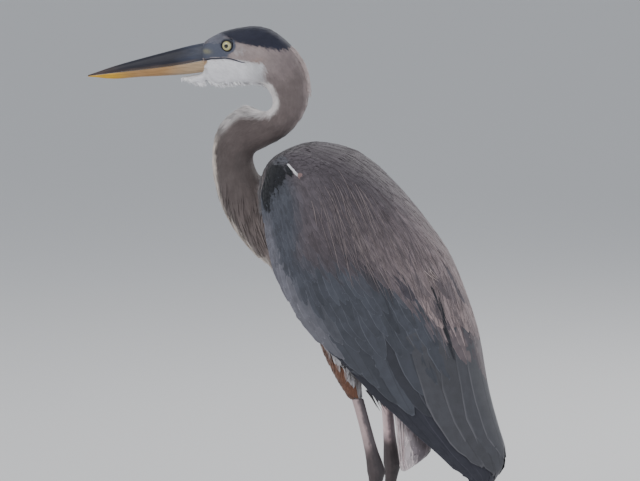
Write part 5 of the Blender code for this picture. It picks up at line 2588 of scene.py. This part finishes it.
@dataclass
class Throat:
    """The ragged white feathers under the bill's base, and the fine ones at the nape, whose pale tint is a
    painted highlight.
    """

    count: int = 520
    nape: int = 260
    # Where the fringe hangs: x, and z at each.
    hem: Knots = ((-146.0, -117.0, -36.0), (660.0, 651.0, 650.0))

    def build(self, form: Form, skin: Skin, finish: Material) -> Object:
        """Make the fringe.

        Args:
            form: The construction lines.
            skin: The skin.
            finish: Its material.

        Returns:
            The piece.
        """
        sheaf, rng = Sheaf(), np.random.default_rng(SEED + 5)
        v = stations(5)
        self.fringe(form, skin, sheaf, rng, v)
        self.wisps(form, skin, sheaf, rng, v)
        piece = sheaf.build("throat_fringe", finish)
        return piece

    def fringe(self, form: Form, skin: Skin, sheaf: Sheaf, rng: np.random.Generator, v: Array) -> None:
        """Add the white feathers that hang from the throat.

        Args:
            form: The construction lines.
            skin: The skin.
            sheaf: What they go into.
            rng: The source of chance.
            v: The shares of the way along them.
        """
        drape = Drape(skin, SEED + 6)
        for _ in range(self.count):
            x = rng.uniform(self.hem[0][0], self.hem[0][-1])
            start = form.at(x, rng.normal(0.0, 4.0), np.interp(x, *self.hem) + 2.0)
            place, normal = drape.near(start)
            length = rng.uniform(3.0, 6.5) * (0.7 if x > -60.0 else 1.0)
            way = np.array([0.75 + 0.3 * rng.normal(), 0.35 * rng.normal(), -0.62 + 0.15 * rng.normal()])
            way = unit(way)
            line = place - normal * (0.8 * MM) + way * (v[:, None] * length * MM)
            line[:, 2] -= 0.6 * MM * v**2
            across = unit(np.cross(way, normal + 0.4 * rng.normal(size=3)))
            half = rng.uniform(0.5, 0.95) * np.maximum(1.0 - v**2, 0.06)
            tint = TONES["throat"] * rng.uniform(1.1, 1.2)
            root = form.place(place[None], normal[None])[0]
            sheaf.add(ribbon(line, across, half), 0.3 * MM, tint, root, v)

    def wisps(self, form: Form, skin: Skin, sheaf: Sheaf, rng: np.random.Generator, v: Array) -> None:
        """Add the fine feathers that stand off the nape; their pale tint is a painted highlight, as if lit
        from behind.

        Args:
            form: The construction lines.
            skin: The skin.
            sheaf: What they go into.
            rng: The source of chance.
            v: The shares of the way along them.
        """
        s = form.section(skin.index)
        high = skin.points[:, 2] > form.at(0.0, 0.0, 600.0)[2]
        rear = np.flatnonzero((np.abs(skin.turn) > 2.75) & (s > 2.9) & (s < 4.7) & high)
        for spot in rng.choice(rear, min(self.nape, len(rear)), replace=False):
            place, normal = skin.points[spot], skin.normals[spot]
            way = unit(form.ahead[skin.index[spot]] + (0.20 + 0.08 * rng.normal()) * normal)
            line = place - normal * (1.0 * MM) + way * (v[:, None] * rng.uniform(4.5, 7.0) * MM)
            across = unit(np.cross(way, normal + 0.4 * rng.normal(size=3)))
            half = rng.uniform(0.16, 0.30) * np.maximum(1.0 - v**2, 0.1)
            # Painted highlight: the cheek's tone made brighter, as if the wisps were lit from behind.
            tint = TONES["cheek"] * rng.uniform(1.2, 2.0)
            root = form.place(place[None], normal[None])[0]
            sheaf.add(ribbon(line, across, half), 0.2 * MM, tint, root, v)


@dataclass
class Gape:
    """The dark fold of skin that runs back from the bill's mouth under the eye; sizes in mm."""

    start: float = -109.0
    end: float = -58.0
    height: float = 0.95
    # How deep its middle lies in the skin.
    sunk: float = 0.7
    steps: int = 40
    sides: int = 10

    def build(self, form: Form, skin: Skin, finish: Material) -> list[Object]:
        """Make the fold on both sides.

        Args:
            form: The construction lines.
            skin: The skin that it lies on.
            finish: Its material.

        Returns:
            The pieces.
        """
        made = []
        share = np.linspace(0.0, 1.0, self.steps)
        turn = np.linspace(0.0, math.tau, self.sides, endpoint=False)
        for side in Side:
            x = self.start + (self.end - self.start) * share
            z = Markings.line(Markings.mouth_line, x) - 2.2 * smooth(0.6, 1.0, share)
            line = []
            for px, pz in zip(x, z):
                start = form.at(px, 40.0 * side.value, pz)
                hit = skin.outline.ray_cast(Vector(start), Vector((0.0, -side.value, 0.0)))[0]
                line.append(np.array(hit if hit is not None else start))
            centre = np.array(line) - np.array([0.0, side.value * self.sunk * MM, 0.0])
            along = unit(np.gradient(centre, axis=0))
            out = unit(np.cross(along, np.array([0.0, 0.0, 1.0]))) * -side.value
            out *= np.sign(out[:, 1] * side.value)[:, None]
            up = unit(np.cross(along, out))
            size = self.height * (0.25 + 0.75 * np.sqrt(np.maximum(1.0 - share**2, 0.0)))
            ring = out[:, None] * np.cos(turn)[None, :, None] * 1.25
            ring = ring + up[:, None] * np.sin(turn)[None, :, None]
            points = centre[:, None] + ring * (size * MM)[:, None, None]
            quads = tube_quads(len(centre), len(turn))
            mesh = sealed(mesh_of(f"gape_{side.word}", points.reshape(-1, 3), quads))
            tint = mixed(TONES["cap"], TONES["lore"], 0.35 * np.repeat(share, len(turn)))
            paint(mesh, "tint", tint)
            piece = placed(f"gape_{side.word}", mesh, finish)
            made.append(piece)
        return made


@dataclass
class Bill:
    """The two halves of the bill, as rows of x, top, mouth, bottom and half width in mm."""

    rows: Knots = (
        (-110.0, 701.2, 680.3, 666.0, 12.0),
        (-113.9, 700.6, 679.6, 665.5, 11.6),
        (-130.0, 697.2, 676.4, 663.2, 10.6),
        (-149.0, 692.3, 673.2, 661.4, 9.4),
        (-192.0, 680.7, 667.5, 658.8, 6.8),
        (-223.0, 671.8, 663.6, 656.3, 4.4),
        (-249.0, 662.9, 660.2, 658.0, 1.5),
        (-256.5, 660.4, 659.2, 658.6, 0.5),
    )
    along: int = 96
    around: int = 30
    slate: Colour = (0.018, 0.019, 0.031)
    grey: Colour = (0.054, 0.064, 0.100)
    brown: Colour = (0.085, 0.055, 0.050)
    rust: Colour = (0.24, 0.17, 0.12)
    gold: Colour = (0.68, 0.38, 0.030)
    tan: Colour = (0.40, 0.225, 0.095)
    flesh: Colour = (0.46, 0.33, 0.21)

    def shell(self, form: Form, upper: bool) -> tuple[Array, Array]:
        """Vertices and quads of one half.

        Args:
            form: The construction lines.
            upper: True for the upper half.

        Returns:
            Points in metres, and faces.
        """
        rows = blend_rows(np.array(self.rows), np.linspace(0.0, len(self.rows) - 1.0, self.along))
        x, top, mouth, bottom, half = (rows[:, k][:, None] for k in range(5))
        # Two thirds of each ring run over the outer face, and the rest along the flat inner face.
        outer = self.around * 2 // 3
        turn = np.linspace(0.0, math.pi, outer)[None, :]
        flat = np.linspace(-1.0, 1.0, self.around - outer + 2)[None, 1:-1]
        seam = 0.22 * smooth(-258.0, -240.0, x)
        if upper:
            height, level, sign = top - mouth - seam, mouth + seam, 1.0
        else:
            height, level, sign = mouth - bottom - seam, mouth - seam, -1.0
        y = half * np.sign(np.cos(turn)) * np.abs(np.cos(turn)) ** 0.82
        z = level + sign * height * np.sin(turn) ** (0.92 if upper else 0.75)
        rise = (z - level) / np.maximum(np.abs(height), 1e-6) * sign
        if upper:
            groove = np.exp(-(((rise - 0.60) / 0.11) ** 2)) * smooth(-196.0, -150.0, x)
            slit = np.exp(-(((rise - 0.60) / 0.055) ** 2)) * np.exp(-(((x + 127.0) / 4.6) ** 4))
            y = y * (1.0 - 0.055 * groove - 0.16 * slit)
        else:
            keel = np.exp(-(((rise - 0.45) / 0.16) ** 2)) * smooth(-240.0, -190.0, x)
            y = y * (1.0 - 0.04 * keel)
        ys = np.concatenate([y, flat * half], 1)
        zs = np.concatenate([z, level + 0.0 * flat], 1)
        points = np.stack([np.broadcast_to(x, ys.shape), ys, zs], -1) * MM + form.shift
        quads = tube_quads(self.along, self.around)
        return points.reshape(-1, 3), quads if upper else quads[:, ::-1]

    def build(self, form: Form, finish: Material) -> list[Object]:
        """Make both halves.

        Args:
            form: The construction lines.
            finish: Their material.

        Returns:
            The upper and the lower half.
        """
        made = []
        for upper in (True, False):
            name = "upper_bill" if upper else "lower_bill"
            mesh = sealed(mesh_of(name, *self.shell(form, upper)))
            paint(mesh, "tint", self.colours(form, vertices(mesh), upper))
            piece = placed(name, mesh, finish)
            node = "bill_upper" if upper else "bill_lower"
            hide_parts(node)
            made.append(piece)
        return made

    def colours(self, form: Form, points: Array, upper: bool) -> Array:
        """The horn's colours.

        Args:
            form: The construction lines.
            points: Rows of positions.
            upper: True for the upper half.

        Returns:
            Rows of linear RGB.
        """
        x, _, z = form.drawn(points).T
        rows = np.array(self.rows)[::-1]
        mouth = np.interp(x, rows[:, 0], rows[:, 2])
        wave = ripple(points * np.array([0.25, 1.0, 1.0]), 0.012, 2.0)
        plain = np.zeros((len(x), 3))
        grey = np.array(self.grey)
        if upper:
            colour = mixed(self.slate + plain, grey, 0.8 * smooth(-150.0, -116.0, x + 6.0 * wave))
            low = smooth(3.2, 0.6, z - mouth + 0.8 * wave) * smooth(-240.0, -200.0, x)
            colour = mixed(colour, np.array(self.rust), 0.55 * low)
            colour = mixed(colour, TONES["lore"] * 0.62, smooth(-127.0, -112.0, x + 5.0 * wave))
            return mixed(colour, np.array(self.brown), 0.7 * smooth(-205.0, -245.0, x))
        colour = mixed(self.gold + plain, np.array(self.tan), smooth(-236.0, -190.0, x + 8.0 * wave))
        colour = mixed(colour, np.array(self.flesh), smooth(-165.0, -125.0, x + 8.0 * wave))
        dusk = smooth(0.2, 0.9, wave) * smooth(-180.0, -140.0, x)
        return mixed(colour, grey * 1.3, 0.35 * dusk)


@dataclass
class Eye:
    """One eye with its lids; sizes in mm."""

    side: Side
    radius: float = 8.4
    iris: float = 5.5
    pupil: float = 2.35
    opening: float = 7.1
    lid: float = 0.75
    rings: int = 90
    segments: int = 64
    lid_steps: tuple[int, int] = (96, 14)
    bright: Colour = (0.56, 0.53, 0.26)
    deep: Colour = (0.40, 0.35, 0.11)
    black: Colour = (0.006, 0.006, 0.007)
    sclera: Colour = (0.014, 0.014, 0.018)
    lid_dark: Colour = (0.022, 0.022, 0.028)

    def frame_of(self) -> Array:
        """Work out the axes of the gaze.

        Returns:
            Rows that point across, up and outwards.
        """
        gaze = unit(np.array([-0.10, self.side.value, -0.03]))
        across = unit(np.cross(np.array([0.0, 0.0, 1.0]), gaze))
        return np.stack([across, np.cross(gaze, across), gaze])

    def build(self, form: Form, glass: Material, rim: Material) -> list[Object]:
        """Make the eyeball and its lids.

        Args:
            form: The construction lines.
            glass: The eyeball's material.
            rim: The lids' material.

        Returns:
            Both pieces.
        """
        ex, ey, ez = form.eye
        centre = form.at(ex, ey * self.side.value, ez)
        axes = self.frame_of()
        polar = math.pi * np.linspace(0.0, 1.0, self.rings) ** 1.5
        turn = np.linspace(0.0, math.tau, self.segments, endpoint=False)
        swell = 0.45 * smooth(0.75, 0.25, polar)
        reach = self.radius + swell
        ring = np.stack([np.cos(turn), np.sin(turn)], -1)
        local = np.concatenate(
            [
                (np.sin(polar) * reach)[:, None, None] * ring[None],
                np.broadcast_to((np.cos(polar) * reach)[:, None, None], (self.rings, self.segments, 1)),
            ],
            -1,
        )
        points = local.reshape(-1, 3) @ axes * MM + centre
        index = np.arange(len(points)).reshape(self.rings, self.segments)
        after = np.roll(index, -1, axis=1)
        quads = np.stack([index[:-1], index[1:], after[1:], after[:-1]], -1).reshape(-1, 4)
        mesh = sealed(mesh_of(f"eyeball_{self.side.word}", points, quads), 0.0001 * MM)
        flat = (vertices(mesh) - centre) / MM @ axes.T
        paint(mesh, "tint", self.colours(flat))
        ball = placed(f"eyeball_{self.side.word}", mesh, glass)
        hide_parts(f"eye_{self.side.word}")
        lids = self.lids(centre, axes, rim)
        return [ball, lids]

    def colours(self, flat: Array) -> Array:
        """Work out the eyeball's colours.

        Args:
            flat: Places from its centre along the axes of the gaze, in mm.

        Returns:
            Rows of linear RGB.
        """
        off = np.hypot(flat[:, 0], flat[:, 1])
        turn = np.arctan2(flat[:, 1], flat[:, 0])
        rays = 0.06 * np.sin(23.0 * turn + 2.0 * np.sin(5.0 * turn)) + 0.04 * np.sin(61.0 * turn)
        plain, deep = np.zeros_like(flat), np.array(self.deep)
        iris = mixed(self.bright + plain, deep, smooth(self.iris - 1.3, self.iris - 0.1, off))
        iris = mixed(iris, deep * 0.9, smooth(self.pupil + 0.6, self.pupil + 0.1, off))
        iris = iris * (1.0 + rays)[:, None]
        colour = mixed(self.black + plain, iris, smooth(self.pupil - 0.05, self.pupil + 0.15, off))
        outside = smooth(self.iris - 0.1, self.iris + 0.15, off)
        outside = np.where(flat[:, 2] < 0.0, 1.0, outside)
        return mixed(colour, np.array(self.sclera), outside)

    def lids(self, centre: Array, axes: Array, rim: Material) -> Object:
        """Make the ring of the lids.

        Args:
            centre: The eyeball's centre.
            axes: The axes of the gaze.
            rim: The lids' material.

        Returns:
            The piece.
        """
        turn, around = (np.linspace(0.0, math.tau, count, endpoint=False) for count in self.lid_steps)
        width, height = self.opening * 1.05, self.opening * 0.97
        # The lids are thicker above, and come to small corners before and behind.
        thick = self.lid * (1.0 + 0.35 * smooth(0.2, 1.0, np.sin(turn)))
        corner = 1.0 + 0.07 * np.abs(np.cos(turn)) ** 8
        ring = np.stack([np.cos(turn) * width * corner, np.sin(turn) * height], -1)
        away = unit(ring)
        level = np.sqrt(np.maximum(self.radius**2 - np.sum(ring**2, 1), 4.0))
        spot = (np.cos(around)[None, :] * 1.35 + 0.5) * thick[:, None]
        rise = np.sin(around)[None, :] * thick[:, None] * 0.8
        beside = ring[:, None] + away[:, None] * spot[..., None]
        local = np.concatenate([beside, (level[:, None] + rise - 0.15)[..., None]], -1)
        points = local.reshape(-1, 3) @ axes * MM + centre
        index = np.arange(len(points)).reshape(len(turn), len(around))
        down, right = np.roll(index, -1, axis=0), np.roll(index, -1, axis=1)
        both = np.roll(down, -1, axis=1)
        quads = np.stack([index, down, both, right], -1).reshape(-1, 4)
        mesh = sealed(mesh_of(f"lids_{self.side.word}", points, quads))
        share = 0.5 + 0.5 * np.cos(np.tile(around, len(turn)))
        dark = self.lid_dark + np.zeros((len(share), 3))
        paint(mesh, "tint", mixed(dark, TONES["lore"] * 0.75, smooth(0.45, 0.95, share)))
        return placed(f"lids_{self.side.word}", mesh, rim)


@dataclass
class Leg:
    """One leg's scaly skin from shank to toes, in a mesh as fine as voxel, in mm."""

    side: Side
    voxel: float
    brown: Colour = (0.13, 0.11, 0.10)

    def build(self, frame: dict, form: Form, finish: Material) -> Object:
        """Make the leg.

        Args:
            form: The construction lines.
            finish: Its material.

        Returns:
            The piece.
        """
        word = self.side.word
        names = nodes_like(frame, *(f"{part}_{word}" for part in ("shank", "tarsus", "foot", "toe")))
        mesh = fused(frame, names, self.voxel * MM)
        points = relaxed(mesh, 4, 0.5)
        move_to(mesh, points)
        normals = vertex_normals(mesh)
        z = form.drawn(points)[:, 2]
        wave = ripple(points, 0.014, 6.0)
        fine = ripple(points, 0.005, 2.0)
        # Painted shade: the side turned towards the tail, away from the light in front, is painted darker.
        back = smooth(-0.15, 0.45, normals[:, 0] + 0.14 * wave + 0.12 * fine)
        colour = mixed(TONES["leg_front"] + np.zeros_like(points), TONES["leg_back"], back)
        lower = smooth(238.0, 208.0, z + 8.0 * wave)
        colour = mixed(colour, TONES["leg_back"] * 0.36, 0.92 * lower)
        worn = smooth(0.1, 0.8, wave) * smooth(190.0, 150.0, z)
        colour = mixed(colour, np.array(self.brown), 0.5 * worn)
        if self.side is Side.RIGHT:
            # Painted light: the right shank is painted paler above the ankle, as if lit where it lies in
            # shade.
            colour = colour * (1.0 + 0.9 * smooth(205.0, 235.0, z))[:, None]
        paint(mesh, "tint", colour)
        mesh.shade_smooth()
        piece = placed(f"leg_{word}", mesh, finish)
        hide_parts(*names)
        return piece


@dataclass
class Claws:
    """The claws, made round from the packed solids; sizes in mm."""

    # How far a claw's root reaches into its toe.
    root_depth: float = 4.0
    horn: Colour = (0.045, 0.04, 0.042)

    def build(self, frame: dict, finish: Material) -> list[Object]:
        """Make the claws.

        Args:
            finish: Their material.

        Returns:
            The pieces.
        """
        made = []
        for name in nodes_like(frame, "claw_"):
            mesh = self.rounded(self.rooted(frame, name))
            paint(mesh, "tint", np.tile(self.horn, (len(mesh.vertices), 1)))
            piece = placed(name + "_horn", mesh, finish)
            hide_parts(name)
            made.append(piece)
        return made

    def rooted(self, frame: dict, name: str) -> Mesh:
        """Copy a claw, and stretch its root into its toe.

        Args:
            name: The claw's node.

        Returns:
            The new mesh.
        """
        mesh = merged_copy(frame, [name])
        points = vertices(mesh)
        toe = vertices(frame["nodes"][name.replace("claw_", "toe_")].data).mean(axis=0)
        off = np.linalg.norm(points - toe, axis=1)
        inwards = unit(toe - points.mean(axis=0)) - np.array([0.0, 0.0, 0.25])
        share = smooth(3.0, 0.5, (off - off.min()) / MM)
        points += inwards * (share * self.root_depth * MM)[:, None]
        move_to(mesh, points)
        return mesh

    @staticmethod
    def rounded(mesh: Mesh) -> Mesh:
        """Subdivide a mesh into a round one.

        Args:
            mesh: The mesh.

        Returns:
            The new mesh.
        """
        holder = placed("fusing", mesh, None)
        rounder = holder.modifiers.new("round", "SUBSURF")
        rounder.levels = rounder.render_levels = 2
        made = evaluated(holder)
        bpy.data.objects.remove(holder)
        made.shade_smooth()
        return made


def horn(name: str, rough: float, relief: float) -> Material:
    """Keratin with fine lengthwise streaks, coloured by the attribute named tint.

    Args:
        name: The material's name.
        rough: Its roughness.
        relief: The strength of its streaks.

    Returns:
        The material.
    """
    s = Shader(name, rough, 0.3)
    long = s.node("ShaderNodeMapping", Vector=s.position(), Scale=(0.08, 1.0, 1.0))
    streak = s.noise(700.0, 4.0, long.outputs[0])
    s.set(Base_Color=s.shaded(s.tint(), s.ramp(streak, 0.25, 0.75, 0.82, 1.16)))
    s.relief(streak, relief, 0.0004)
    return s.material


def scales(name: str) -> Material:
    """Leg skin in small plates, coloured by the attribute named tint.

    Args:
        name: The material's name.

    Returns:
        The material.
    """
    s = Shader(name, 0.5, 0.4)
    cell = s.node("ShaderNodeTexVoronoi", feature="DISTANCE_TO_EDGE", Scale=400.0)
    s.feed(s.position(), cell.inputs["Vector"])
    plate = s.ramp(cell.outputs["Distance"], 0.0, 0.14)
    grain = s.noise(1500.0, 3.0)
    seams = s.calc("ADD", 0.95, s.calc("MULTIPLY", plate, 0.06))
    shade = s.calc("MULTIPLY", seams, s.ramp(grain, 0.2, 0.8, 0.88, 1.10))
    s.set(Base_Color=s.shaded(s.tint(), shade))
    s.relief(s.calc("ADD", plate, s.calc("MULTIPLY", grain, 0.25)), 0.4, 0.0004)
    return s.material


def eyeball(name: str) -> Material:
    """The wet eyeball, coloured by the attribute named tint.

    Args:
        name: The material's name.

    Returns:
        The material.
    """
    s = Shader(name, 0.12, 0.6)
    s.set(Coat_Weight=1.0, Coat_Roughness=0.03, Coat_IOR=1.38, Base_Color=s.tint())
    return s.material


@dataclass
class Studio:
    """Floor, lights and camera; the camera's angles are in degrees, its distance in metres,
    and its lens and target in mm."""

    azimuth: float = 12.0
    elevation: float = 5.0
    distance: float = 6.0
    lens: float = 281.25
    target: tuple[float, float, float] = (30.1, 0.0, 464.9)
    floor_size: float = 400.0
    floor_tone: Colour = (0.74, 0.74, 0.745)
    sky: Colour = (0.86, 0.90, 0.96)
    sky_strength: float = 0.62
    # Each light: its place from the aim in metres, its side in metres, its watts and its colour.
    lights: tuple[tuple[str, tuple[float, float, float], float, float, Colour], ...] = (
        ("key", (-1.6, -2.6, 2.6), 2.2, 62.0, (1.0, 0.985, 0.96)),
        ("fill", (2.4, -2.4, 1.2), 2.6, 20.0, (0.93, 0.96, 1.0)),
        ("rim", (1.5, 2.4, 2.4), 1.6, 75.0, (1.0, 0.98, 0.95)),
    )

    def build(self, form: Form) -> None:
        """Set the stage.

        Args:
            form: The construction lines.
        """
        aim = Vector(form.at(*self.target))
        a, e = math.radians(self.azimuth), math.radians(self.elevation)
        away = Vector((math.sin(a) * math.cos(e), -math.cos(a) * math.cos(e), math.sin(e)))
        lens = bpy.data.cameras.new("camera")
        lens.lens, lens.sensor_width = self.lens, 36.0
        lens.clip_end = 600.0
        camera = bpy.data.objects.new("camera", lens)
        camera.location = aim + away * self.distance
        camera.rotation_euler = (-away).to_track_quat("-Z", "Y").to_euler()
        bpy.context.scene.collection.objects.link(camera)
        bpy.context.scene.camera = camera
        self.floor()
        for name, place, size, power, tone in self.lights:
            self.light(name, Vector(place), aim, size, power, tone)
        world = bpy.data.worlds.new("studio")
        world.use_nodes = True
        sky = world.node_tree.nodes["Background"]
        sky.inputs["Color"].default_value = (*self.sky, 1.0)
        sky.inputs["Strength"].default_value = self.sky_strength
        bpy.context.scene.world = world

    def floor(self) -> None:
        """Lay the floor, a square at height 0."""
        half = self.floor_size / 2.0
        mesh = bpy.data.meshes.new("floor")
        corners = [(-half, -half, 0.0), (half, -half, 0.0), (half, half, 0.0), (-half, half, 0.0)]
        mesh.from_pydata(corners, [], [(0, 1, 2, 3)])
        s = Shader("floor", 0.85, 0.1)
        s.set(Base_Color=(*self.floor_tone, 1.0))
        placed("floor", mesh, s.material)

    @staticmethod
    def light(name: str, place: Vector, aim: Vector, size: float, power: float, tone: Colour) -> None:
        """Add one soft light.

        Args:
            name: Its name.
            place: Where it stands, in metres from the aim.
            aim: What it points at.
            size: The side of its square in metres.
            power: Its power in watts.
            tone: Its colour.
        """
        lamp = bpy.data.lights.new(name, "AREA")
        lamp.size, lamp.energy, lamp.color = size, power, tone
        thing = bpy.data.objects.new(name, lamp)
        thing.location = aim + place
        thing.rotation_euler = (-place).to_track_quat("-Z", "Y").to_euler()
        bpy.context.scene.collection.objects.link(thing)


def head_fields(skin: Skin) -> dict[str, dict[str, Array]]:
    """Where the head's and neck's small feathers grow, and their sizes.

    Args:
        skin: The skin.

    Returns:
        The fields of the face, the throat and the neck.
    """
    form = skin.form
    s = form.section(skin.index)
    x, _, z = form.drawn(skin.points).T
    front = skin.weights[Group.HEAD] + skin.weights[Group.NECK]
    open_skin = 1.0 - skin.bare
    open_skin *= smooth(6.6, 7.6, np.hypot(x - form.eye[0], z - form.eye[2]))
    # Nothing grows on the flat face behind the bill, nor on the horn that runs back from it.
    open_skin *= ((skin.normals[:, 0] > -0.72) | (z < 664.0)) * (1.0 - Markings(form).jaw(skin.points))
    white = (skin.tint.min(axis=1) > 0.55).astype(float) * smooth(3.9, 3.4, s)
    head = smooth(3.75, 3.55, s) * (front > 0.5) * open_skin
    length = 4.4 + 4.6 * smooth(-70.0, -15.0, x) + 3.0 * smooth(2.6, 3.6, s)
    long = 9.0 + 9.0 * smooth(8.6, 10.5, s)
    plain = np.ones(len(s))
    return {
        "face": {"cover": head * (1.0 - white), "length": length, "width": 0.18 * length + 0.75},
        "beard": {"cover": head * white, "length": 6.5 * plain, "width": 1.5 * plain},
        "neck": {
            "cover": smooth(3.45, 3.65, s) * (front > 0.35),
            "length": long,
            "width": 1.5 + 0.085 * long,
        },
    }


def body_fields(skin: Skin) -> dict[str, dict[str, Array]]:
    """Where the body's, thighs' and tail's small feathers grow, and their sizes.

    Args:
        skin: The skin.

    Returns:
        The fields of the body, of the backs of the thighs and of the wings' inner faces.
    """
    w = skin.weights
    t, _, _ = skin.form.body_coords(skin.points)
    plain = np.ones(len(skin.points))
    wings = w[Group.WING] + w[Group.FLIGHT]
    # The body's coat stops before the tips of its feathers could come through the wings.
    trunk = (w[Group.TRUNK] > 0.4) & ~skin.shoulder & ((wings < 0.03) | (t < 150.0))
    behind = smooth(-0.85, -0.6, skin.normals[:, 2]) * (skin.normals[:, 0] > 0.1)
    inner = (skin.facing() < -0.3) & (np.abs(skin.points[:, 1]) > 14.0 * MM)
    deep = blurred(skin.mesh, inner.astype(float), 10) > 0.97
    clear = (t > 40.0) & (t < 330.0) & (skin.across > 0.12) & (skin.across < 0.86)
    return {
        "body": {"cover": trunk * 1.0, "length": 22.0 * plain, "width": 6.5 * plain},
        "thigh": {
            "cover": (w[Group.THIGH] > 0.4) * behind,
            "length": 16.0 * plain,
            "width": 3.4 * plain,
        },
        "under": {
            "cover": ((wings > 0.6) & deep & clear) * 1.0,
            "length": 13.0 * plain,
            "width": 6.0 * plain,
        },
    }


def report(piece: Object) -> Object:
    """Log a piece's name and size.

    Args:
        piece: The piece.

    Returns:
        The same piece.
    """
    piece.data.calc_loop_triangles()
    LOG.info("%s: %d triangles", piece.name, len(piece.data.loop_triangles))
    return piece


# The feathers' finishes: small and soft, white and softer, coverts, quills and scapulars.
FEATHERS = (
    VaneFinish("small_feathers", 9.0, 2.0, mottle=0.10, relief=0.10, rough=0.7, sheen=0.25),
    VaneFinish("white_feathers", 9.0, 2.0, mottle=0.05, relief=0.08, rough=0.75, sheen=0.2),
    VaneFinish("covert_feathers", 16.0, 5.0, fringe=0.52, shaft=0.15, mottle=0.12, relief=0.10),
    VaneFinish("quill_feathers", 70.0, 14.0, 0.5, 0.35, mottle=0.08, relief=0.15, rough=0.55),
    VaneFinish("scapular_feathers", 46.0, 10.0, 0.35, 0.2, mottle=0.14, relief=0.15),
)


def grow_coats(skin: Skin, coarse: float, plush: Material, fluff: Material) -> list[Object]:
    """Grow the coats of small feathers.

    Args:
        skin: The skin.
        coarse: How many times further apart the feathers stand; 1 is the finished coat.
        plush: The material of the soft feathers.
        fluff: The material of the white ones.

    Returns:
        The coats.
    """
    tree = coat_tree()
    soft = small_vane("soft_vane", 0.12, 0.018, 0.07)
    broad = small_vane("broad_vane", 0.14, 0.018, 0.16)
    fields = {**head_fields(skin), **body_fields(skin)}
    # Each coat, the feather it is made of, its fields' name and its finish.
    coats = (
        (Coat("face_feathers", "plumage_head", 0.80, 3, 0.08, 0.25, 0.05, 2.6e6), soft, "face", plush),
        (Coat("throat_feathers", "plumage_head", 0.95, 4, 0.12, 0.35, 0.04, 1.9e6), soft, "beard", fluff),
        (Coat("neck_feathers", "plumage_neck", 1.18, 5, 0.08, 0.28, 0.06, 1.2e6), soft, "neck", plush),
        (Coat("body_feathers", "plumage_body", 3.0, 6, 0.12, 0.6, 0.08, 2.0e5), broad, "body", plush),
        (Coat("thigh_feathers", "plumage_thigh", 1.8, 7, 0.14, 0.7, 0.10, 5.0e5), soft, "thigh", plush),
        (Coat("under_feathers", "plumage_wing", 3.4, 8, 0.08, 0.4, 0.08, 1.6e5), broad, "under", plush),
    )
    made = [
        coat.build(skin, tree, vane, fields[name], finish, coarse)
        for coat, vane, name, finish in coats
    ]
    for vane in (soft, broad):
        bpy.data.objects.remove(vane)
    return made


@dataclass(frozen=True)
class Fineness:
    """How fine the meshes are: the skin's and the legs' in mm, and the coats' spacing as a share."""

    skin: float = 2.4
    leg: float = 0.85
    coats: float = 1.0


def main() -> None:
    """Build the finished bird over the packed solids."""
    logging.basicConfig(level=logging.INFO, format="%(message)s")
    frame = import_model()
    form = Form()
    Studio().build(form)
    fine = Fineness()
    skin = Skin(frame, form, fine.skin * MM)
    body = skin.build(SkinFinish("skin").material())
    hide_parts(*(name for names in skin.names.values() for name in names))

    plush, fluff, contour, quill, scapular = (finish.material() for finish in FEATHERS)
    pieces = [body, *grow_coats(skin, fine.coats, plush, fluff)]
    for side in Side:
        pieces += Wing(form, side).build(quill, contour)
    pieces += Mantle(form).build(scapular, plush)
    drape = Drape(skin, SEED + 3)
    pieces.append(Tail().build(skin, drape, contour))
    pieces += Tufts().build(skin, drape, plush)
    pieces.append(Throat().build(form, skin, fluff))
    pieces += Wrist().build(form, plush, SkinFinish("wrist_skin", 0.5, 1200.0, 0.4).material())

    glass, rim = eyeball("eyeball"), SkinFinish("lid_skin", 0.45, 1600.0, 0.3).material()
    pieces += Bill().build(form, horn("bill_horn", 0.46, 0.12))
    pieces += Gape().build(form, skin, rim)
    leather = scales("leg_scales")
    for side in Side:
        pieces += Eye(side).build(form, glass, rim)
        pieces.append(Leg(side, fine.leg).build(frame, form, leather))
    pieces += Claws().build(frame, horn("claw_horn", 0.35, 0.1))
    for piece in pieces:
        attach(report(piece), BODY)


if __name__ == "__main__":
    main()
